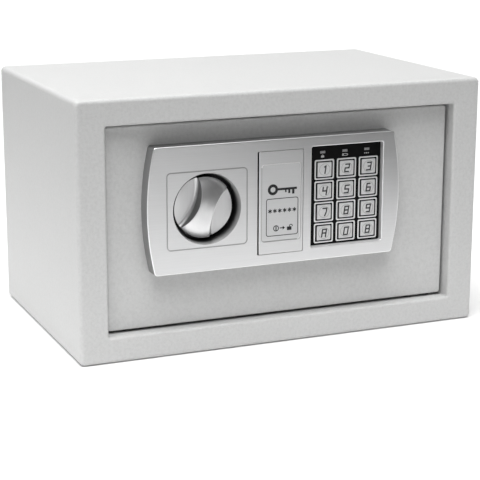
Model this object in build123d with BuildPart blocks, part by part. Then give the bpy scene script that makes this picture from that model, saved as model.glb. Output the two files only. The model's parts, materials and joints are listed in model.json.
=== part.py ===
from build123d import *
import os
from math import sin, cos, radians

os.makedirs("parts", exist_ok=True)

# ---------------------------------------------------------------------------
# In-room safe: welded steel body, recessed steel door with a moulded control
# fascia, rotary handle, keypad, hidden emergency lock and a two-bolt mechanism
# under a cover on the inside of the door.
# Millimetres. +Z up, the door faces -Y. The origin is the middle of the
# bounding box at floor level.
# ---------------------------------------------------------------------------

# body
BODY_W = 320.0          # outside width
BODY_D = 200.0          # outside depth of the steel box
BODY_H = 190.0          # outside height
SHEET = 2.0             # body sheet thickness
WRAP_R = 4.0            # bend radius of the wrapped sheet
RIM = 7.0               # depth of the front frame's rim
EDGE_R = 3.0            # rounding of the frame's front edges
LIP_R = 1.9             # rounding of the opening's lip
OPEN_W = 277.0          # door opening width
OPEN_Z0 = 19.0          # door opening bottom
OPEN_Z1 = 171.0         # door opening top
JAMB = 14.5             # depth of the return flange behind the front plane
ANCHOR_D = 10.0         # anchor hole diameter
ANCHOR_PITCH = 120.0    # distance between anchor holes
REAR_AT = 196.0         # depth of the rear panel's inner face

# door
GAP = 2.0               # gap round the door
RECESS = 9.0            # door face behind the frame's front plane
DOOR_T = 4.0            # door plate thickness
PIVOT_X = 124.5         # hinge axis, across
PIVOT_D = 15.6          # hinge axis, behind the front plane
PIN_D = 5.0             # hinge pin diameter

# control fascia
FASCIA_PROUD = 3.0      # fascia face in front of the frame's front plane
FASCIA_X = -9.5         # middle of the fascia, across
FASCIA_HALF = 95.0      # half width at the corners
FASCIA_BOW = 5.5        # extra half width in the middle of the bowed ends
FASCIA_Z0 = 61.5
FASCIA_Z1 = 154.5
FASCIA_WALL = 1.8

# rotary handle
KNOB_X = -64.3
KNOB_Z = 107.5
KNOB_D = 45.0
DISH_D = 52.5           # dish round the handle, at the face
DISH_FLOOR = 8.0        # depth of the dish floor
SHAFT_D = 8.0
RIDGE_LEAN = 21.0       # lean of the grip at rest, degrees from upright
CRANK_R = 10.0          # crank pin radius
CRANK_HALF = 35.0       # crank pin angle each side of upright, degrees

# centre nameplate and emergency lock
PLATE_X = -7.0
PLATE_Z = 107.7
PLATE_W = 36.8
PLATE_H = 76.8
LOCK_Z = 95.0
LOCK_D = 18.0

# keypad
PAD_X = 47.3
PAD_Z = 109.2
PAD_W = 59.0
PAD_H = 75.4
PAD_D = 1.5             # depth of the keypad plate's face
KEY_X = 48.3            # middle key column
KEY_PITCH_X = 18.2
KEY_PITCH_Z = 16.0
KEY_TOP_Z = 128.5       # top key row
KEY_W = 11.5
KEY_H = 10.9
KEY_TRAVEL = 0.8

# bolt work
BOLT_D = 12.0
BOLT_DEPTH = 23.0       # bolt axis behind the front plane
BOLT_Z = (72.0, 130.0)
BOLT_TIP = -135.5       # tip of a withdrawn bolt
STROKE = 2 * CRANK_R * sin(radians(CRANK_HALF))   # 11.47
PLATE_D0 = 18.8         # carriage plate, near face behind the front plane
PLATE_D1 = 20.8

# lock cover on the inside of the door
CASE_X0, CASE_X1 = -126.0, 106.0
CASE_Z0, CASE_Z1 = 27.0, 163.0
CASE_BACK = 46.0
CASE_T = 1.2

YF = -(BODY_D + FASCIA_PROUD) / 2 + FASCIA_PROUD  # y of the front plane
DOOR_BACK = RECESS + DOOR_T
OPEN_Z = (OPEN_Z0 + OPEN_Z1) / 2
OPEN_H = OPEN_Z1 - OPEN_Z0


def y(depth):
    """World y of a depth behind the front plane."""
    return YF + depth


def front(depth):
    """Plane facing the user at that depth: x is X, y is Z, out is -Y."""
    return Plane.XZ.offset(-(YF + depth))


def level(z):
    return Plane.XY.offset(z)


def side(x):
    """Plane facing +X: its x is Y, its y is Z."""
    return Plane.YZ.offset(x)


# =========================== steel body ====================================

# wrapped sheet: a rounded tube, open in front and behind
with BuildPart() as body_shell:
    with BuildSketch(front(RIM)):
        with Locations((0, BODY_H / 2)):
            RectangleRounded(BODY_W, BODY_H, WRAP_R)
            RectangleRounded(BODY_W - 2 * SHEET, BODY_H - 2 * SHEET, WRAP_R - SHEET, mode=Mode.SUBTRACT)
    extrude(amount=-(BODY_D - RIM))
    # rolled rear edge
    rear_edges = body_shell.edges().group_by(Axis.Y)[-1]
    fillet(rear_edges.filter_by(lambda e: e.length > 1).sort_by(Axis.Z), radius=0.8)
    # two anchor holes through the floor
    with BuildSketch(level(-1)):
        with Locations((-ANCHOR_PITCH / 2, 15), (ANCHOR_PITCH / 2, 15)):
            Circle(ANCHOR_D / 2)
    extrude(amount=SHEET + 2, mode=Mode.SUBTRACT)
body_shell.part.label = "body_shell"
export_step(body_shell.part, "parts/body_shell.step")

# front frame: rounded border with a return flange round the opening
with BuildPart() as front_frame:
    with BuildSketch(front(0)):
        with Locations((0, BODY_H / 2)):
            RectangleRounded(BODY_W, BODY_H, WRAP_R)
    extrude(amount=-RIM)
    fillet(front_frame.edges().group_by(Axis.Y)[0], radius=EDGE_R)
    with BuildSketch(front(RIM)):
        with Locations((0, BODY_H / 2)):
            RectangleRounded(BODY_W - 2 * SHEET - 2, BODY_H - 2 * SHEET - 2, WRAP_R - SHEET)
    extrude(amount=RIM - SHEET, mode=Mode.SUBTRACT)
    with BuildSketch(front(SHEET)):
        with Locations((0, OPEN_Z)):
            RectangleRounded(OPEN_W + 2 * SHEET, OPEN_H + 2 * SHEET, 3.5)
    extrude(amount=-(JAMB - SHEET))
    with BuildSketch(front(-1)):
        with Locations((0, OPEN_Z)):
            RectangleRounded(OPEN_W, OPEN_H, 1.5)
    extrude(amount=-(JAMB + 2), mode=Mode.SUBTRACT)
    lip = front_frame.edges().group_by(Axis.Y)[0].filter_by(
        lambda e: abs(e.center().X) < OPEN_W / 2 + 1 and OPEN_Z0 - 1 < e.center().Z < OPEN_Z1 + 1)
    fillet(lip, radius=LIP_R)
    # notches that let the hinge brackets reach the opening
    with BuildSketch(level(OPEN_Z0 - SHEET - 1)):
        with Locations((PIVOT_X, y(JAMB))):
            Rectangle(27, 7)
    extrude(amount=OPEN_H + 2 * SHEET + 2, mode=Mode.SUBTRACT)
front_frame.part.label = "front_frame"
export_step(front_frame.part, "parts/front_frame.step")

# rear panel with two wall anchor holes
with BuildPart() as rear_panel:
    with BuildSketch(front(REAR_AT)):
        with Locations((0, BODY_H / 2)):
            RectangleRounded(BODY_W - 2 * SHEET, BODY_H - 2 * SHEET, WRAP_R - SHEET)
        with Locations((-ANCHOR_PITCH / 2, BODY_H / 2), (ANCHOR_PITCH / 2, BODY_H / 2)):
            Circle(ANCHOR_D / 2, mode=Mode.SUBTRACT)
    extrude(amount=-SHEET)
rear_panel.part.label = "rear_panel"
export_step(rear_panel.part, "parts/rear_panel.step")

# carpet mat on the floor, with holes over the anchor holes
with BuildPart() as floor_mat:
    with BuildSketch(level(SHEET)):
        with Locations((0, y(112.5))):
            RectangleRounded(310, 163, 4)
        with Locations((-ANCHOR_PITCH / 2, 15), (ANCHOR_PITCH / 2, 15)):
            Circle(9, mode=Mode.SUBTRACT)
    extrude(amount=3)
    fillet(floor_mat.edges().group_by(Axis.Z)[-1], radius=0.8)
floor_mat.part.label = "floor_mat"
export_step(floor_mat.part, "parts/floor_mat.step")

# hinge brackets welded between the wrap and the opening, above and below
BRACKET_W = 24.0
with BuildPart() as hinge_brackets:
    for z_plate, z_wall, out in ((OPEN_Z1, BODY_H - SHEET, 1), (OPEN_Z0, SHEET, -1)):
        with BuildSketch(side(PIVOT_X - BRACKET_W / 2)):
            with BuildLine():
                Polyline(
                    (y(11.5), z_plate), (y(29), z_plate), (y(29), z_wall), (y(26), z_wall),
                    (y(26), z_plate + out * 3), (y(11.5), z_plate + out * 3), (y(11.5), z_plate))
            make_face()
        extrude(amount=BRACKET_W)
    with BuildSketch(level(0)):
        with Locations((PIVOT_X, y(PIVOT_D))):
            Circle(PIN_D / 2 + 0.15)
    extrude(amount=BODY_H, mode=Mode.SUBTRACT)
    fillet(hinge_brackets.edges().filter_by(Axis.Z).group_by(Axis.Y)[0], radius=1.5)
hinge_brackets.part.label = "hinge_brackets"
export_step(hinge_brackets.part, "parts/hinge_brackets.step")

# =========================== door ==========================================

with BuildPart() as door_panel:
    with BuildSketch(front(RECESS)):
        with Locations((0, OPEN_Z)):
            RectangleRounded(OPEN_W - 2 * GAP, OPEN_H - 2 * GAP, 2)
    extrude(amount=-DOOR_T)
    fillet(door_panel.edges().group_by(Axis.Y)[0], radius=1.2)
    with BuildSketch(front(RECESS - 1)):
        with Locations((KNOB_X, KNOB_Z)):
            Circle(6.8)
        with Locations((PLATE_X, LOCK_Z)):
            Circle(LOCK_D / 2)
        with Locations((KEY_X, 105)):
            RectangleRounded(15, 6, 2)
        with Locations((-98, 67.5), (-98, 148.5), (81, 67.5), (81, 148.5)):
            Circle(2.1)
    extrude(amount=-(DOOR_T + 2), mode=Mode.SUBTRACT)
door_panel.part.label = "door_panel"
export_step(door_panel.part, "parts/door_panel.step")

# hinge blocks welded to the back of the door
BLOCK_H = 27.0
with BuildPart() as hinge_blocks:
    for z0 in (OPEN_Z1 - GAP - BLOCK_H, OPEN_Z0 + GAP):
        with BuildSketch(level(z0)):
            with BuildLine():
                Polyline((PIVOT_X - 7, y(DOOR_BACK)), (PIVOT_X + 7, y(DOOR_BACK)),
                         (PIVOT_X + 7, y(16)), (PIVOT_X + 3.5, y(20.6)),
                         (PIVOT_X - 3.5, y(20.6)), (PIVOT_X - 7, y(16)), (PIVOT_X - 7, y(DOOR_BACK)))
            make_face()
            with Locations((PIVOT_X, y(PIVOT_D))):
                Circle(PIN_D / 2, mode=Mode.SUBTRACT)
        extrude(amount=BLOCK_H)
hinge_blocks.part.label = "hinge_blocks"
export_step(hinge_blocks.part, "parts/hinge_blocks.step")

with BuildPart() as hinge_pins:
    for z0, length in ((OPEN_Z1 - 24, 31.5), (OPEN_Z0 - 7.5, 31.5)):
        with BuildSketch(level(z0)):
            with Locations((PIVOT_X, y(PIVOT_D))):
                Circle(PIN_D / 2)
        extrude(amount=length)
    chamfer(hinge_pins.edges().filter_by(GeomType.CIRCLE), length=0.6)
hinge_pins.part.label = "hinge_pins"
export_step(hinge_pins.part, "parts/hinge_pins.step")

with BuildPart() as hinge_washers:
    for z0 in (OPEN_Z1 - GAP, OPEN_Z0 + 0.2):
        with BuildSketch(level(z0)):
            with Locations((PIVOT_X, y(PIVOT_D))):
                Circle(5)
                Circle(PIN_D / 2, mode=Mode.SUBTRACT)
        extrude(amount=GAP - 0.2)
hinge_washers.part.label = "hinge_washers"
export_step(hinge_washers.part, "parts/hinge_washers.step")

# ------------------------- control fascia ----------------------------------

FL, FR = FASCIA_X - FASCIA_HALF, FASCIA_X + FASCIA_HALF
FM = (FASCIA_Z0 + FASCIA_Z1) / 2
BOSSES = ((-98, 67.5), (-98, 148.5), (81, 67.5), (81, 148.5))
with BuildPart() as control_fascia:
    with BuildSketch(front(RECESS)) as fascia_outline:
        with BuildLine():
            Line((FL, FASCIA_Z0), (FR, FASCIA_Z0))
            ThreePointArc((FR, FASCIA_Z0), (FR + FASCIA_BOW, FM), (FR, FASCIA_Z1))
            Line((FR, FASCIA_Z1), (FL, FASCIA_Z1))
            ThreePointArc((FL, FASCIA_Z1), (FL - FASCIA_BOW, FM), (FL, FASCIA_Z0))
        make_face()
        fillet(fascia_outline.vertices(), radius=2.5)
    extrude(amount=RECESS + FASCIA_PROUD)
    fillet(control_fascia.edges().group_by(Axis.Y)[0], radius=1.0)
    # hollow back
    with BuildSketch(front(RECESS)) as fascia_inner:
        with BuildLine():
            Line((FL, FASCIA_Z0), (FR, FASCIA_Z0))
            ThreePointArc((FR, FASCIA_Z0), (FR + FASCIA_BOW, FM), (FR, FASCIA_Z1))
            Line((FR, FASCIA_Z1), (FL, FASCIA_Z1))
            ThreePointArc((FL, FASCIA_Z1), (FL - FASCIA_BOW, FM), (FL, FASCIA_Z0))
        make_face()
        offset(amount=-FASCIA_WALL, kind=Kind.INTERSECTION)
    extrude(amount=RECESS + FASCIA_PROUD - FASCIA_WALL, mode=Mode.SUBTRACT)
    # material round the handle's dish, the nameplate pocket and the keypad
    with BuildSketch(front(DISH_FLOOR + 1.0)):
        with Locations((KNOB_X, KNOB_Z)):
            Circle(28.2)
    extrude(amount=DISH_FLOOR + 1.0 + FASCIA_PROUD - FASCIA_WALL)
    with BuildSketch(front(2.5)):
        with Locations((PLATE_X, PLATE_Z)):
            Rectangle(PLATE_W + 3, PLATE_H + 3)
    extrude(amount=2.5 + FASCIA_PROUD - FASCIA_WALL)
    with BuildSketch(front(PAD_D + 3.5)):
        with Locations((PAD_X, PAD_Z)):
            Rectangle(PAD_W + 3, PAD_H + 3)
    extrude(amount=PAD_D + 3.5 + FASCIA_PROUD - FASCIA_WALL)
    with BuildSketch(front(RECESS)):
        with Locations(*BOSSES):
            Circle(3.5)
    extrude(amount=RECESS + FASCIA_PROUD - FASCIA_WALL)
    # dish: conical wall, flat floor, shaft hole
    with BuildSketch(level(KNOB_Z)):
        with BuildLine():
            Polyline((KNOB_X, y(-FASCIA_PROUD - 1)), (KNOB_X + DISH_D / 2 + 0.5, y(-FASCIA_PROUD - 1)),
                     (KNOB_X + DISH_D / 2, y(-FASCIA_PROUD)), (KNOB_X + DISH_D / 2 - 1.3, y(1.6)),
                     (KNOB_X + DISH_D / 2 - 2.2, y(DISH_FLOOR)), (KNOB_X, y(DISH_FLOOR)),
                     (KNOB_X, y(-FASCIA_PROUD - 1)))
        make_face()
    revolve(axis=Axis((KNOB_X, 0, KNOB_Z), (0, 1, 0)), mode=Mode.SUBTRACT)
    with BuildSketch(front(-FASCIA_PROUD - 1)):
        with Locations((KNOB_X, KNOB_Z)):
            Circle(5.5)
        with Locations((PLATE_X, LOCK_Z)):
            Circle(LOCK_D / 2)
    extrude(amount=-14, mode=Mode.SUBTRACT)
    # nameplate pocket
    with BuildSketch(front(-FASCIA_PROUD)):
        with Locations((PLATE_X, PLATE_Z)):
            RectangleRounded(PLATE_W, PLATE_H, 1.0)
    extrude(amount=-(FASCIA_PROUD + 1.0), mode=Mode.SUBTRACT)
    # keypad pocket and the window behind it
    with BuildSketch(front(-FASCIA_PROUD)):
        with Locations((PAD_X, PAD_Z)):
            RectangleRounded(PAD_W, PAD_H, 1.4)
    extrude(amount=-(FASCIA_PROUD + PAD_D + 2.0), mode=Mode.SUBTRACT)
    fillet(control_fascia.edges().group_by(Axis.Y)[0].filter_by(
        lambda e: abs(e.center().X - PAD_X) < PAD_W / 2 + 1 and abs(e.center().Z - PAD_Z) < PAD_H / 2 + 1
        and e.length > 1), radius=0.6)
    with BuildSketch(front(-FASCIA_PROUD)):
        with Locations((PAD_X, PAD_Z)):
            Rectangle(PAD_W - 3, PAD_H - 3)
    extrude(amount=-11, mode=Mode.SUBTRACT)
    # engraved square round the dish
    with BuildSketch(front(-FASCIA_PROUD)):
        with Locations((KNOB_X, KNOB_Z)):
            RectangleRounded(62.4, 57.0, 3.4)
            RectangleRounded(60.6, 55.2, 2.5, mode=Mode.SUBTRACT)
    extrude(amount=-0.5, mode=Mode.SUBTRACT)
    # screw pilot holes in the bosses
    with BuildSketch(front(RECESS)):
        with Locations(*BOSSES):
            Circle(1.5)
    extrude(amount=7.5, mode=Mode.SUBTRACT)
control_fascia.part.label = "control_fascia"
export_step(control_fascia.part, "parts/control_fascia.step")

# screws that hold the fascia, driven from inside the door
with BuildPart() as fascia_screws:
    with BuildSketch(front(DOOR_BACK)):
        with Locations(*BOSSES):
            Circle(1.5)
    extrude(amount=9.5)
    with BuildSketch(front(DOOR_BACK)):
        with Locations(*BOSSES):
            Circle(3.4)
    extrude(amount=-2.0)
    fillet(fascia_screws.edges().group_by(Axis.Y)[-1], radius=0.8)
    with BuildSketch(front(DOOR_BACK + 2.0)):
        with Locations(*BOSSES):
            Rectangle(3.6, 0.8)
            Rectangle(0.8, 3.6)
    extrude(amount=1.0, mode=Mode.SUBTRACT)
fascia_screws.part.label = "fascia_screws"
export_step(fascia_screws.part, "parts/fascia_screws.step")

# ------------------------- rotary handle -----------------------------------

RIDGE = Plane(origin=(KNOB_X, YF, KNOB_Z),
              x_dir=(cos(radians(RIDGE_LEAN)), 0, -sin(radians(RIDGE_LEAN))),
              z_dir=(sin(radians(RIDGE_LEAN)), 0, cos(radians(RIDGE_LEAN))))
# plane along the grip: its x runs the long way of the grip, its y is depth
GRIP = Plane(origin=(KNOB_X, YF, KNOB_Z),
             x_dir=(sin(radians(RIDGE_LEAN)), 0, cos(radians(RIDGE_LEAN))),
             z_dir=(-cos(radians(RIDGE_LEAN)), 0, sin(radians(RIDGE_LEAN))))
SCOOP_AXIS = 46.0       # scoops are turned about an axis this far to each side
KNOB_RIM = 3.4          # depth of the domed face at the rim
with BuildPart() as knob:
    with BuildSketch(GRIP):
        with BuildLine():
            ThreePointArc((0, -2.8), (12.0, -1.1), (KNOB_D / 2, KNOB_RIM))
            Polyline((KNOB_D / 2, KNOB_RIM), (KNOB_D / 2, 6.8), (KNOB_D / 2 - 0.7, 7.5), (0, 7.5), (0, -2.8))
        make_face()
    revolve(axis=Axis((KNOB_X, 0, KNOB_Z), (0, 1, 0)))
    # a concave scoop each side leaves the waisted grip
    for s in (1, -1):
        with BuildSketch(RIDGE):
            with BuildLine():
                Polyline((s * 23.6, 4.6), (s * 24.5, -6.0), (s * 5.4, -6.0), (s * 7.0, 4.4))
                ThreePointArc((s * 7.0, 4.4), (s * 8.2, 5.6), (s * 10.4, 6.0))
                ThreePointArc((s * 10.4, 6.0), (s * 17.5, 5.7), (s * 23.6, 4.6))
            make_face()
        centre = RIDGE.from_local_coords((s * SCOOP_AXIS, 0, 0))
        revolve(axis=Axis((centre.X, centre.Y, centre.Z), (0, 1, 0)), mode=Mode.SUBTRACT)
    # round the grip's edges and the rim of its ends
    ridge_top = knob.faces().sort_by(Axis.Y)[0]
    fillet(ridge_top.edges().filter_by(
        lambda e: e.geom_type == GeomType.BSPLINE or abs(e.center().Y - y(KNOB_RIM)) < 0.3), radius=0.6)
    # blind bore for the shaft
    with BuildSketch(front(7.5)):
        with Locations((KNOB_X, KNOB_Z)):
            Circle(SHAFT_D / 2)
    extrude(amount=6.5, mode=Mode.SUBTRACT)
knob.part.label = "knob"
export_step(knob.part, "parts/knob.step")

with BuildPart() as knob_shaft:
    with BuildSketch(front(1.0)):
        with Locations((KNOB_X, KNOB_Z)):
            Circle(SHAFT_D / 2)
    extrude(amount=-17.4)
    # groove for the clip
    with BuildSketch(front(17.3)):
        with Locations((KNOB_X, KNOB_Z)):
            Circle(SHAFT_D / 2)
            Circle(SHAFT_D / 2 - 0.6, mode=Mode.SUBTRACT)
    extrude(amount=-0.8, mode=Mode.SUBTRACT)
knob_shaft.part.label = "knob_shaft"
export_step(knob_shaft.part, "parts/knob_shaft.step")

# flanged bush in the door that the shaft turns in
with BuildPart() as dial_bush:
    with BuildSketch(front(9.0)):
        with Locations((KNOB_X, KNOB_Z)):
            Circle(6.8)
    extrude(amount=-4.0)
    with BuildSketch(front(DOOR_BACK)):
        with Locations((KNOB_X, KNOB_Z)):
            Circle(9)
    extrude(amount=-1.2)
    with BuildSketch(front(8)):
        with Locations((KNOB_X, KNOB_Z)):
            Circle(SHAFT_D / 2 + 0.1)
    extrude(amount=-8, mode=Mode.SUBTRACT)
dial_bush.part.label = "dial_bush"
export_step(dial_bush.part, "parts/dial_bush.step")

# crank on the inner end of the shaft; its pin runs in the carriage's slot
PIN_X = KNOB_X + CRANK_R * sin(radians(CRANK_HALF))
PIN_Z = KNOB_Z + CRANK_R * cos(radians(CRANK_HALF))
with BuildPart() as dial_crank:
    with BuildSketch(front(14.8)):
        with Locations((KNOB_X, KNOB_Z)):
            Circle(7.0)
        with Locations((PIN_X, PIN_Z)):
            Circle(4.5)
        with Locations(Location(((KNOB_X + PIN_X) / 2, (KNOB_Z + PIN_Z) / 2), -CRANK_HALF)):
            Rectangle(9.0, CRANK_R)
        with Locations((KNOB_X, KNOB_Z)):
            Circle(SHAFT_D / 2, mode=Mode.SUBTRACT)
    extrude(amount=-2.5)
    with BuildSketch(front(17.3)):
        with Locations((PIN_X, PIN_Z)):
            Circle(2.0)
    extrude(amount=-4.9)
    chamfer(dial_crank.edges().group_by(Axis.Y)[-1], length=0.4)
dial_crank.part.label = "dial_crank"
export_step(dial_crank.part, "parts/dial_crank.step")

# retaining clip in the shaft's groove
with BuildPart() as shaft_clip:
    with BuildSketch(front(17.3)):
        with Locations((KNOB_X, KNOB_Z)):
            Circle(5.8)
            Circle(SHAFT_D / 2 - 0.6, mode=Mode.SUBTRACT)
        with Locations((KNOB_X, KNOB_Z - 5)):
            Rectangle(4.0, 6, mode=Mode.SUBTRACT)
    extrude(amount=-0.8)
shaft_clip.part.label = "shaft_clip"
export_step(shaft_clip.part, "parts/shaft_clip.step")

# ------------------------- nameplate and emergency lock --------------------

with BuildPart() as nameplate_cover:
    with BuildSketch(front(-0.9)):
        # a finger-nail gap down its left edge
        with Locations((PLATE_X + 0.5, PLATE_Z)):
            RectangleRounded(PLATE_W - 1.6, PLATE_H - 0.6, 0.8)
    extrude(amount=FASCIA_PROUD - 0.9)
    fillet(nameplate_cover.edges().group_by(Axis.Y)[0], radius=0.4)
    with BuildSketch(front(-FASCIA_PROUD)):
        with Locations((PLATE_X + 0.6, PLATE_Z)):
            RectangleRounded(31.6, 58.0, 2.4)
    extrude(amount=-0.8, mode=Mode.SUBTRACT)
    # two snap tongues behind
    with BuildSketch(front(-0.9)):
        with Locations((PLATE_X, PLATE_Z - 35), (PLATE_X, PLATE_Z + 35)):
            Rectangle(9, 1.6)
    extrude(amount=-1.6)
nameplate_cover.part.label = "nameplate_cover"
export_step(nameplate_cover.part, "parts/nameplate_cover.step")

with BuildPart() as nameplate_label:
    with BuildSketch(front(-FASCIA_PROUD + 0.8)):
        with Locations((PLATE_X + 0.6, PLATE_Z)):
            RectangleRounded(31.3, 57.7, 2.2)
    extrude(amount=0.3)
nameplate_label.part.label = "nameplate_label"
export_step(nameplate_label.part, "parts/nameplate_label.step")

with BuildPart() as key_lock_barrel:
    with BuildSketch(front(1.0)):
        with Locations((PLATE_X, LOCK_Z)):
            Circle(10.6)
    extrude(amount=1.2)
    with BuildSketch(front(1.0)):
        with Locations((PLATE_X, LOCK_Z)):
            Circle(LOCK_D / 2)
    extrude(amount=-18.6)
    with BuildSketch(front(-1)):
        with Locations((PLATE_X, LOCK_Z)):
            Circle(5.6)
    extrude(amount=-22, mode=Mode.SUBTRACT)
    fillet(key_lock_barrel.edges().group_by(Axis.Y)[0].sort_by(SortBy.LENGTH)[-1], radius=0.5)
key_lock_barrel.part.label = "key_lock_barrel"
export_step(key_lock_barrel.part, "parts/key_lock_barrel.step")

with BuildPart() as key_lock_nut:
    with BuildSketch(front(DOOR_BACK)):
        with Locations((PLATE_X, LOCK_Z)):
            RegularPolygon(12.5, 6, major_radius=False)
            Circle(LOCK_D / 2, mode=Mode.SUBTRACT)
    extrude(amount=-4)
key_lock_nut.part.label = "key_lock_nut"
export_step(key_lock_nut.part, "parts/key_lock_nut.step")

with BuildPart() as key_lock_plug:
    with BuildSketch(front(-0.2)):
        with Locations((PLATE_X, LOCK_Z)):
            Circle(5.45)
    extrude(amount=-20.4)
    with BuildSketch(front(20.2)):
        with Locations((PLATE_X, LOCK_Z)):
            Rectangle(6, 6)
    extrude(amount=-2.4)
    with BuildSketch(front(-0.2)):
        with Locations((PLATE_X, LOCK_Z)):
            Rectangle(1.3, 7.0)
    extrude(amount=-9, mode=Mode.SUBTRACT)
key_lock_plug.part.label = "key_lock_plug"
export_step(key_lock_plug.part, "parts/key_lock_plug.step")

with BuildPart() as key_lock_cam:
    with BuildSketch(front(20.2)):
        with Locations((PLATE_X, LOCK_Z)):
            Circle(8)
        with Locations((PLATE_X, LOCK_Z + 11)):
            RectangleRounded(9, 24, 2)
        with Locations((PLATE_X, LOCK_Z)):
            Rectangle(6, 6, mode=Mode.SUBTRACT)
    extrude(amount=-2)
key_lock_cam.part.label = "key_lock_cam"
export_step(key_lock_cam.part, "parts/key_lock_cam.step")

# ------------------------- keypad ------------------------------------------

KEYS = {}
ROWS = (("key_1", "key_2", "key_3"), ("key_4", "key_5", "key_6"),
        ("key_7", "key_8", "key_9"), ("key_a", "key_0", "key_b"))
for r, row in enumerate(ROWS):
    for c, key_name in enumerate(row):
        KEYS[key_name] = (KEY_X + (c - 1) * KEY_PITCH_X, KEY_TOP_Z - r * KEY_PITCH_Z)
LEDS = [(KEY_X - 1.3 + i * KEY_PITCH_X, 141.4) for i in (-1, 0, 1)]

with BuildPart() as keypad_plate:
    with BuildSketch(front(PAD_D)):
        with Locations((PAD_X, PAD_Z)):
            RectangleRounded(PAD_W - 0.3, PAD_H - 0.3, 1.0)
        with Locations(*KEYS.values()):
            RectangleRounded(KEY_W + 0.7, KEY_H + 0.7, 0.9, mode=Mode.SUBTRACT)
        with Locations(*LEDS):
            Rectangle(4.2, 1.9, mode=Mode.SUBTRACT)
    extrude(amount=-2.0)
keypad_plate.part.label = "keypad_plate"
export_step(keypad_plate.part, "parts/keypad_plate.step")

# bright rims round the key wells
with BuildPart() as key_bezels:
    with BuildSketch(front(PAD_D)):
        with Locations(*KEYS.values()):
            RectangleRounded(KEY_W + 4.4, KEY_H + 4.0, 1.2)
            RectangleRounded(KEY_W + 2.2, KEY_H + 1.8, 0.7, mode=Mode.SUBTRACT)
    extrude(amount=0.7)
    fillet(key_bezels.edges().group_by(Axis.Y)[0], radius=0.2)
key_bezels.part.label = "key_bezels"
export_step(key_bezels.part, "parts/key_bezels.step")

with BuildPart() as led_lenses:
    with BuildSketch(front(PAD_D - 0.2)):
        with Locations(*LEDS):
            Rectangle(4.1, 1.8)
    extrude(amount=-4.0)
led_lenses.part.label = "led_lenses"
export_step(led_lenses.part, "parts/led_lenses.step")

with BuildPart() as keypad_mat:
    with BuildSketch(front(PAD_D + 4.1)):
        with Locations((PAD_X, PAD_Z)):
            RectangleRounded(PAD_W - 4, PAD_H - 4, 2)
    extrude(amount=-0.9)
keypad_mat.part.label = "keypad_mat"
export_step(keypad_mat.part, "parts/keypad_mat.step")

with BuildPart() as keypad_board:
    with BuildSketch(front(PAD_D + 5.0)):
        with Locations((PAD_X, PAD_Z)):
            Rectangle(PAD_W - 3.4, PAD_H - 3.4)
    extrude(amount=-1.6)
keypad_board.part.label = "keypad_board"
export_step(keypad_board.part, "parts/keypad_board.step")

# flat cable from the keypad board through the door to the main board
with BuildPart() as keypad_cable:
    with BuildSketch(front(PAD_D + 6.6)):
        with Locations((KEY_X, 105)):
            Rectangle(12, 1.6)
    extrude(amount=-(18.0 - PAD_D - 6.6))
keypad_cable.part.label = "keypad_cable"
export_step(keypad_cable.part, "parts/keypad_cable.step")

# one key cap: rounded face, neck through the well, flange behind the plate
for key_name, (kx, kz) in KEYS.items():
    with BuildPart() as key_cap:
        with BuildSketch(front(PAD_D + 2.2)):
            with Locations((kx, kz)):
                RectangleRounded(KEY_W, KEY_H, 0.8)
        extrude(amount=3.4)
        fillet(key_cap.edges().group_by(Axis.Y)[0], radius=0.5)
        with BuildSketch(front(PAD_D + 2.2)):
            with Locations((kx, kz)):
                Rectangle(KEY_W + 1.7, KEY_H + 1.7)
        extrude(amount=-1.0)
    key_cap.part.label = key_name
    export_step(key_cap.part, "parts/" + key_name + ".step")

# ------------------------- bolt work ---------------------------------------

CAR_X0, CAR_X1 = -110.0, -42.0
CAR_Z0, CAR_Z1 = 60.0, 142.0
STUDS = ((-97.0, 84.0), (-97.0, 135.0), (-56.0, 72.0), (-56.0, 135.0))
TAB_X = -70.0 + STROKE / 2
with BuildPart() as bolt_carriage:
    with BuildSketch(front(PLATE_D0)):
        with Locations(((CAR_X0 + CAR_X1) / 2, (CAR_Z0 + CAR_Z1) / 2)):
            RectangleRounded(CAR_X1 - CAR_X0, CAR_Z1 - CAR_Z0, 3)
        with Locations((CAR_X0 + 3, (CAR_Z0 + CAR_Z1) / 2)):
            Rectangle(6, CAR_Z1 - CAR_Z0)
        # upright slot for the crank pin
        with Locations((PIN_X, (PIN_Z + KNOB_Z + CRANK_R) / 2)):
            SlotOverall(KNOB_Z + CRANK_R - PIN_Z + 5.2, 4.6, rotation=90, mode=Mode.SUBTRACT)
        # running slots for the guide studs
        for sx, sz in STUDS:
            with Locations((sx + STROKE / 2, sz)):
                SlotOverall(STROKE + 5.6, 5.4, mode=Mode.SUBTRACT)
        # lightening window
        with Locations((-83.0, 108.0)):
            RectangleRounded(24, 34, 3, mode=Mode.SUBTRACT)
    extrude(amount=-(PLATE_D1 - PLATE_D0))
    # flange that carries the bolts
    with BuildSketch(side(CAR_X0)):
        with Locations((y((PLATE_D0 + 31) / 2), (CAR_Z0 + CAR_Z1) / 2)):
            Rectangle(31 - PLATE_D0, CAR_Z1 - CAR_Z0)
    extrude(amount=2)
    with BuildSketch(side(CAR_X0 - 1)):
        with Locations(*[(y(BOLT_DEPTH), bz) for bz in BOLT_Z]):
            Circle(3)
    extrude(amount=4, mode=Mode.SUBTRACT)
bolt_carriage.part.label = "bolt_carriage"
export_step(bolt_carriage.part, "parts/bolt_carriage.step")

# lug welded under the carriage that the solenoid's plunger stops
with BuildPart() as blocking_lug:
    with BuildSketch(front(PLATE_D0)):
        with Locations((TAB_X, CAR_Z0 - 3.25)):
            Rectangle(3.5, 6.5)
    extrude(amount=-4.0)
    chamfer(blocking_lug.edges().filter_by(Axis.Y).group_by(Axis.Z)[0], length=0.6)
blocking_lug.part.label = "blocking_lug"
export_step(blocking_lug.part, "parts/blocking_lug.step")

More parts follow.
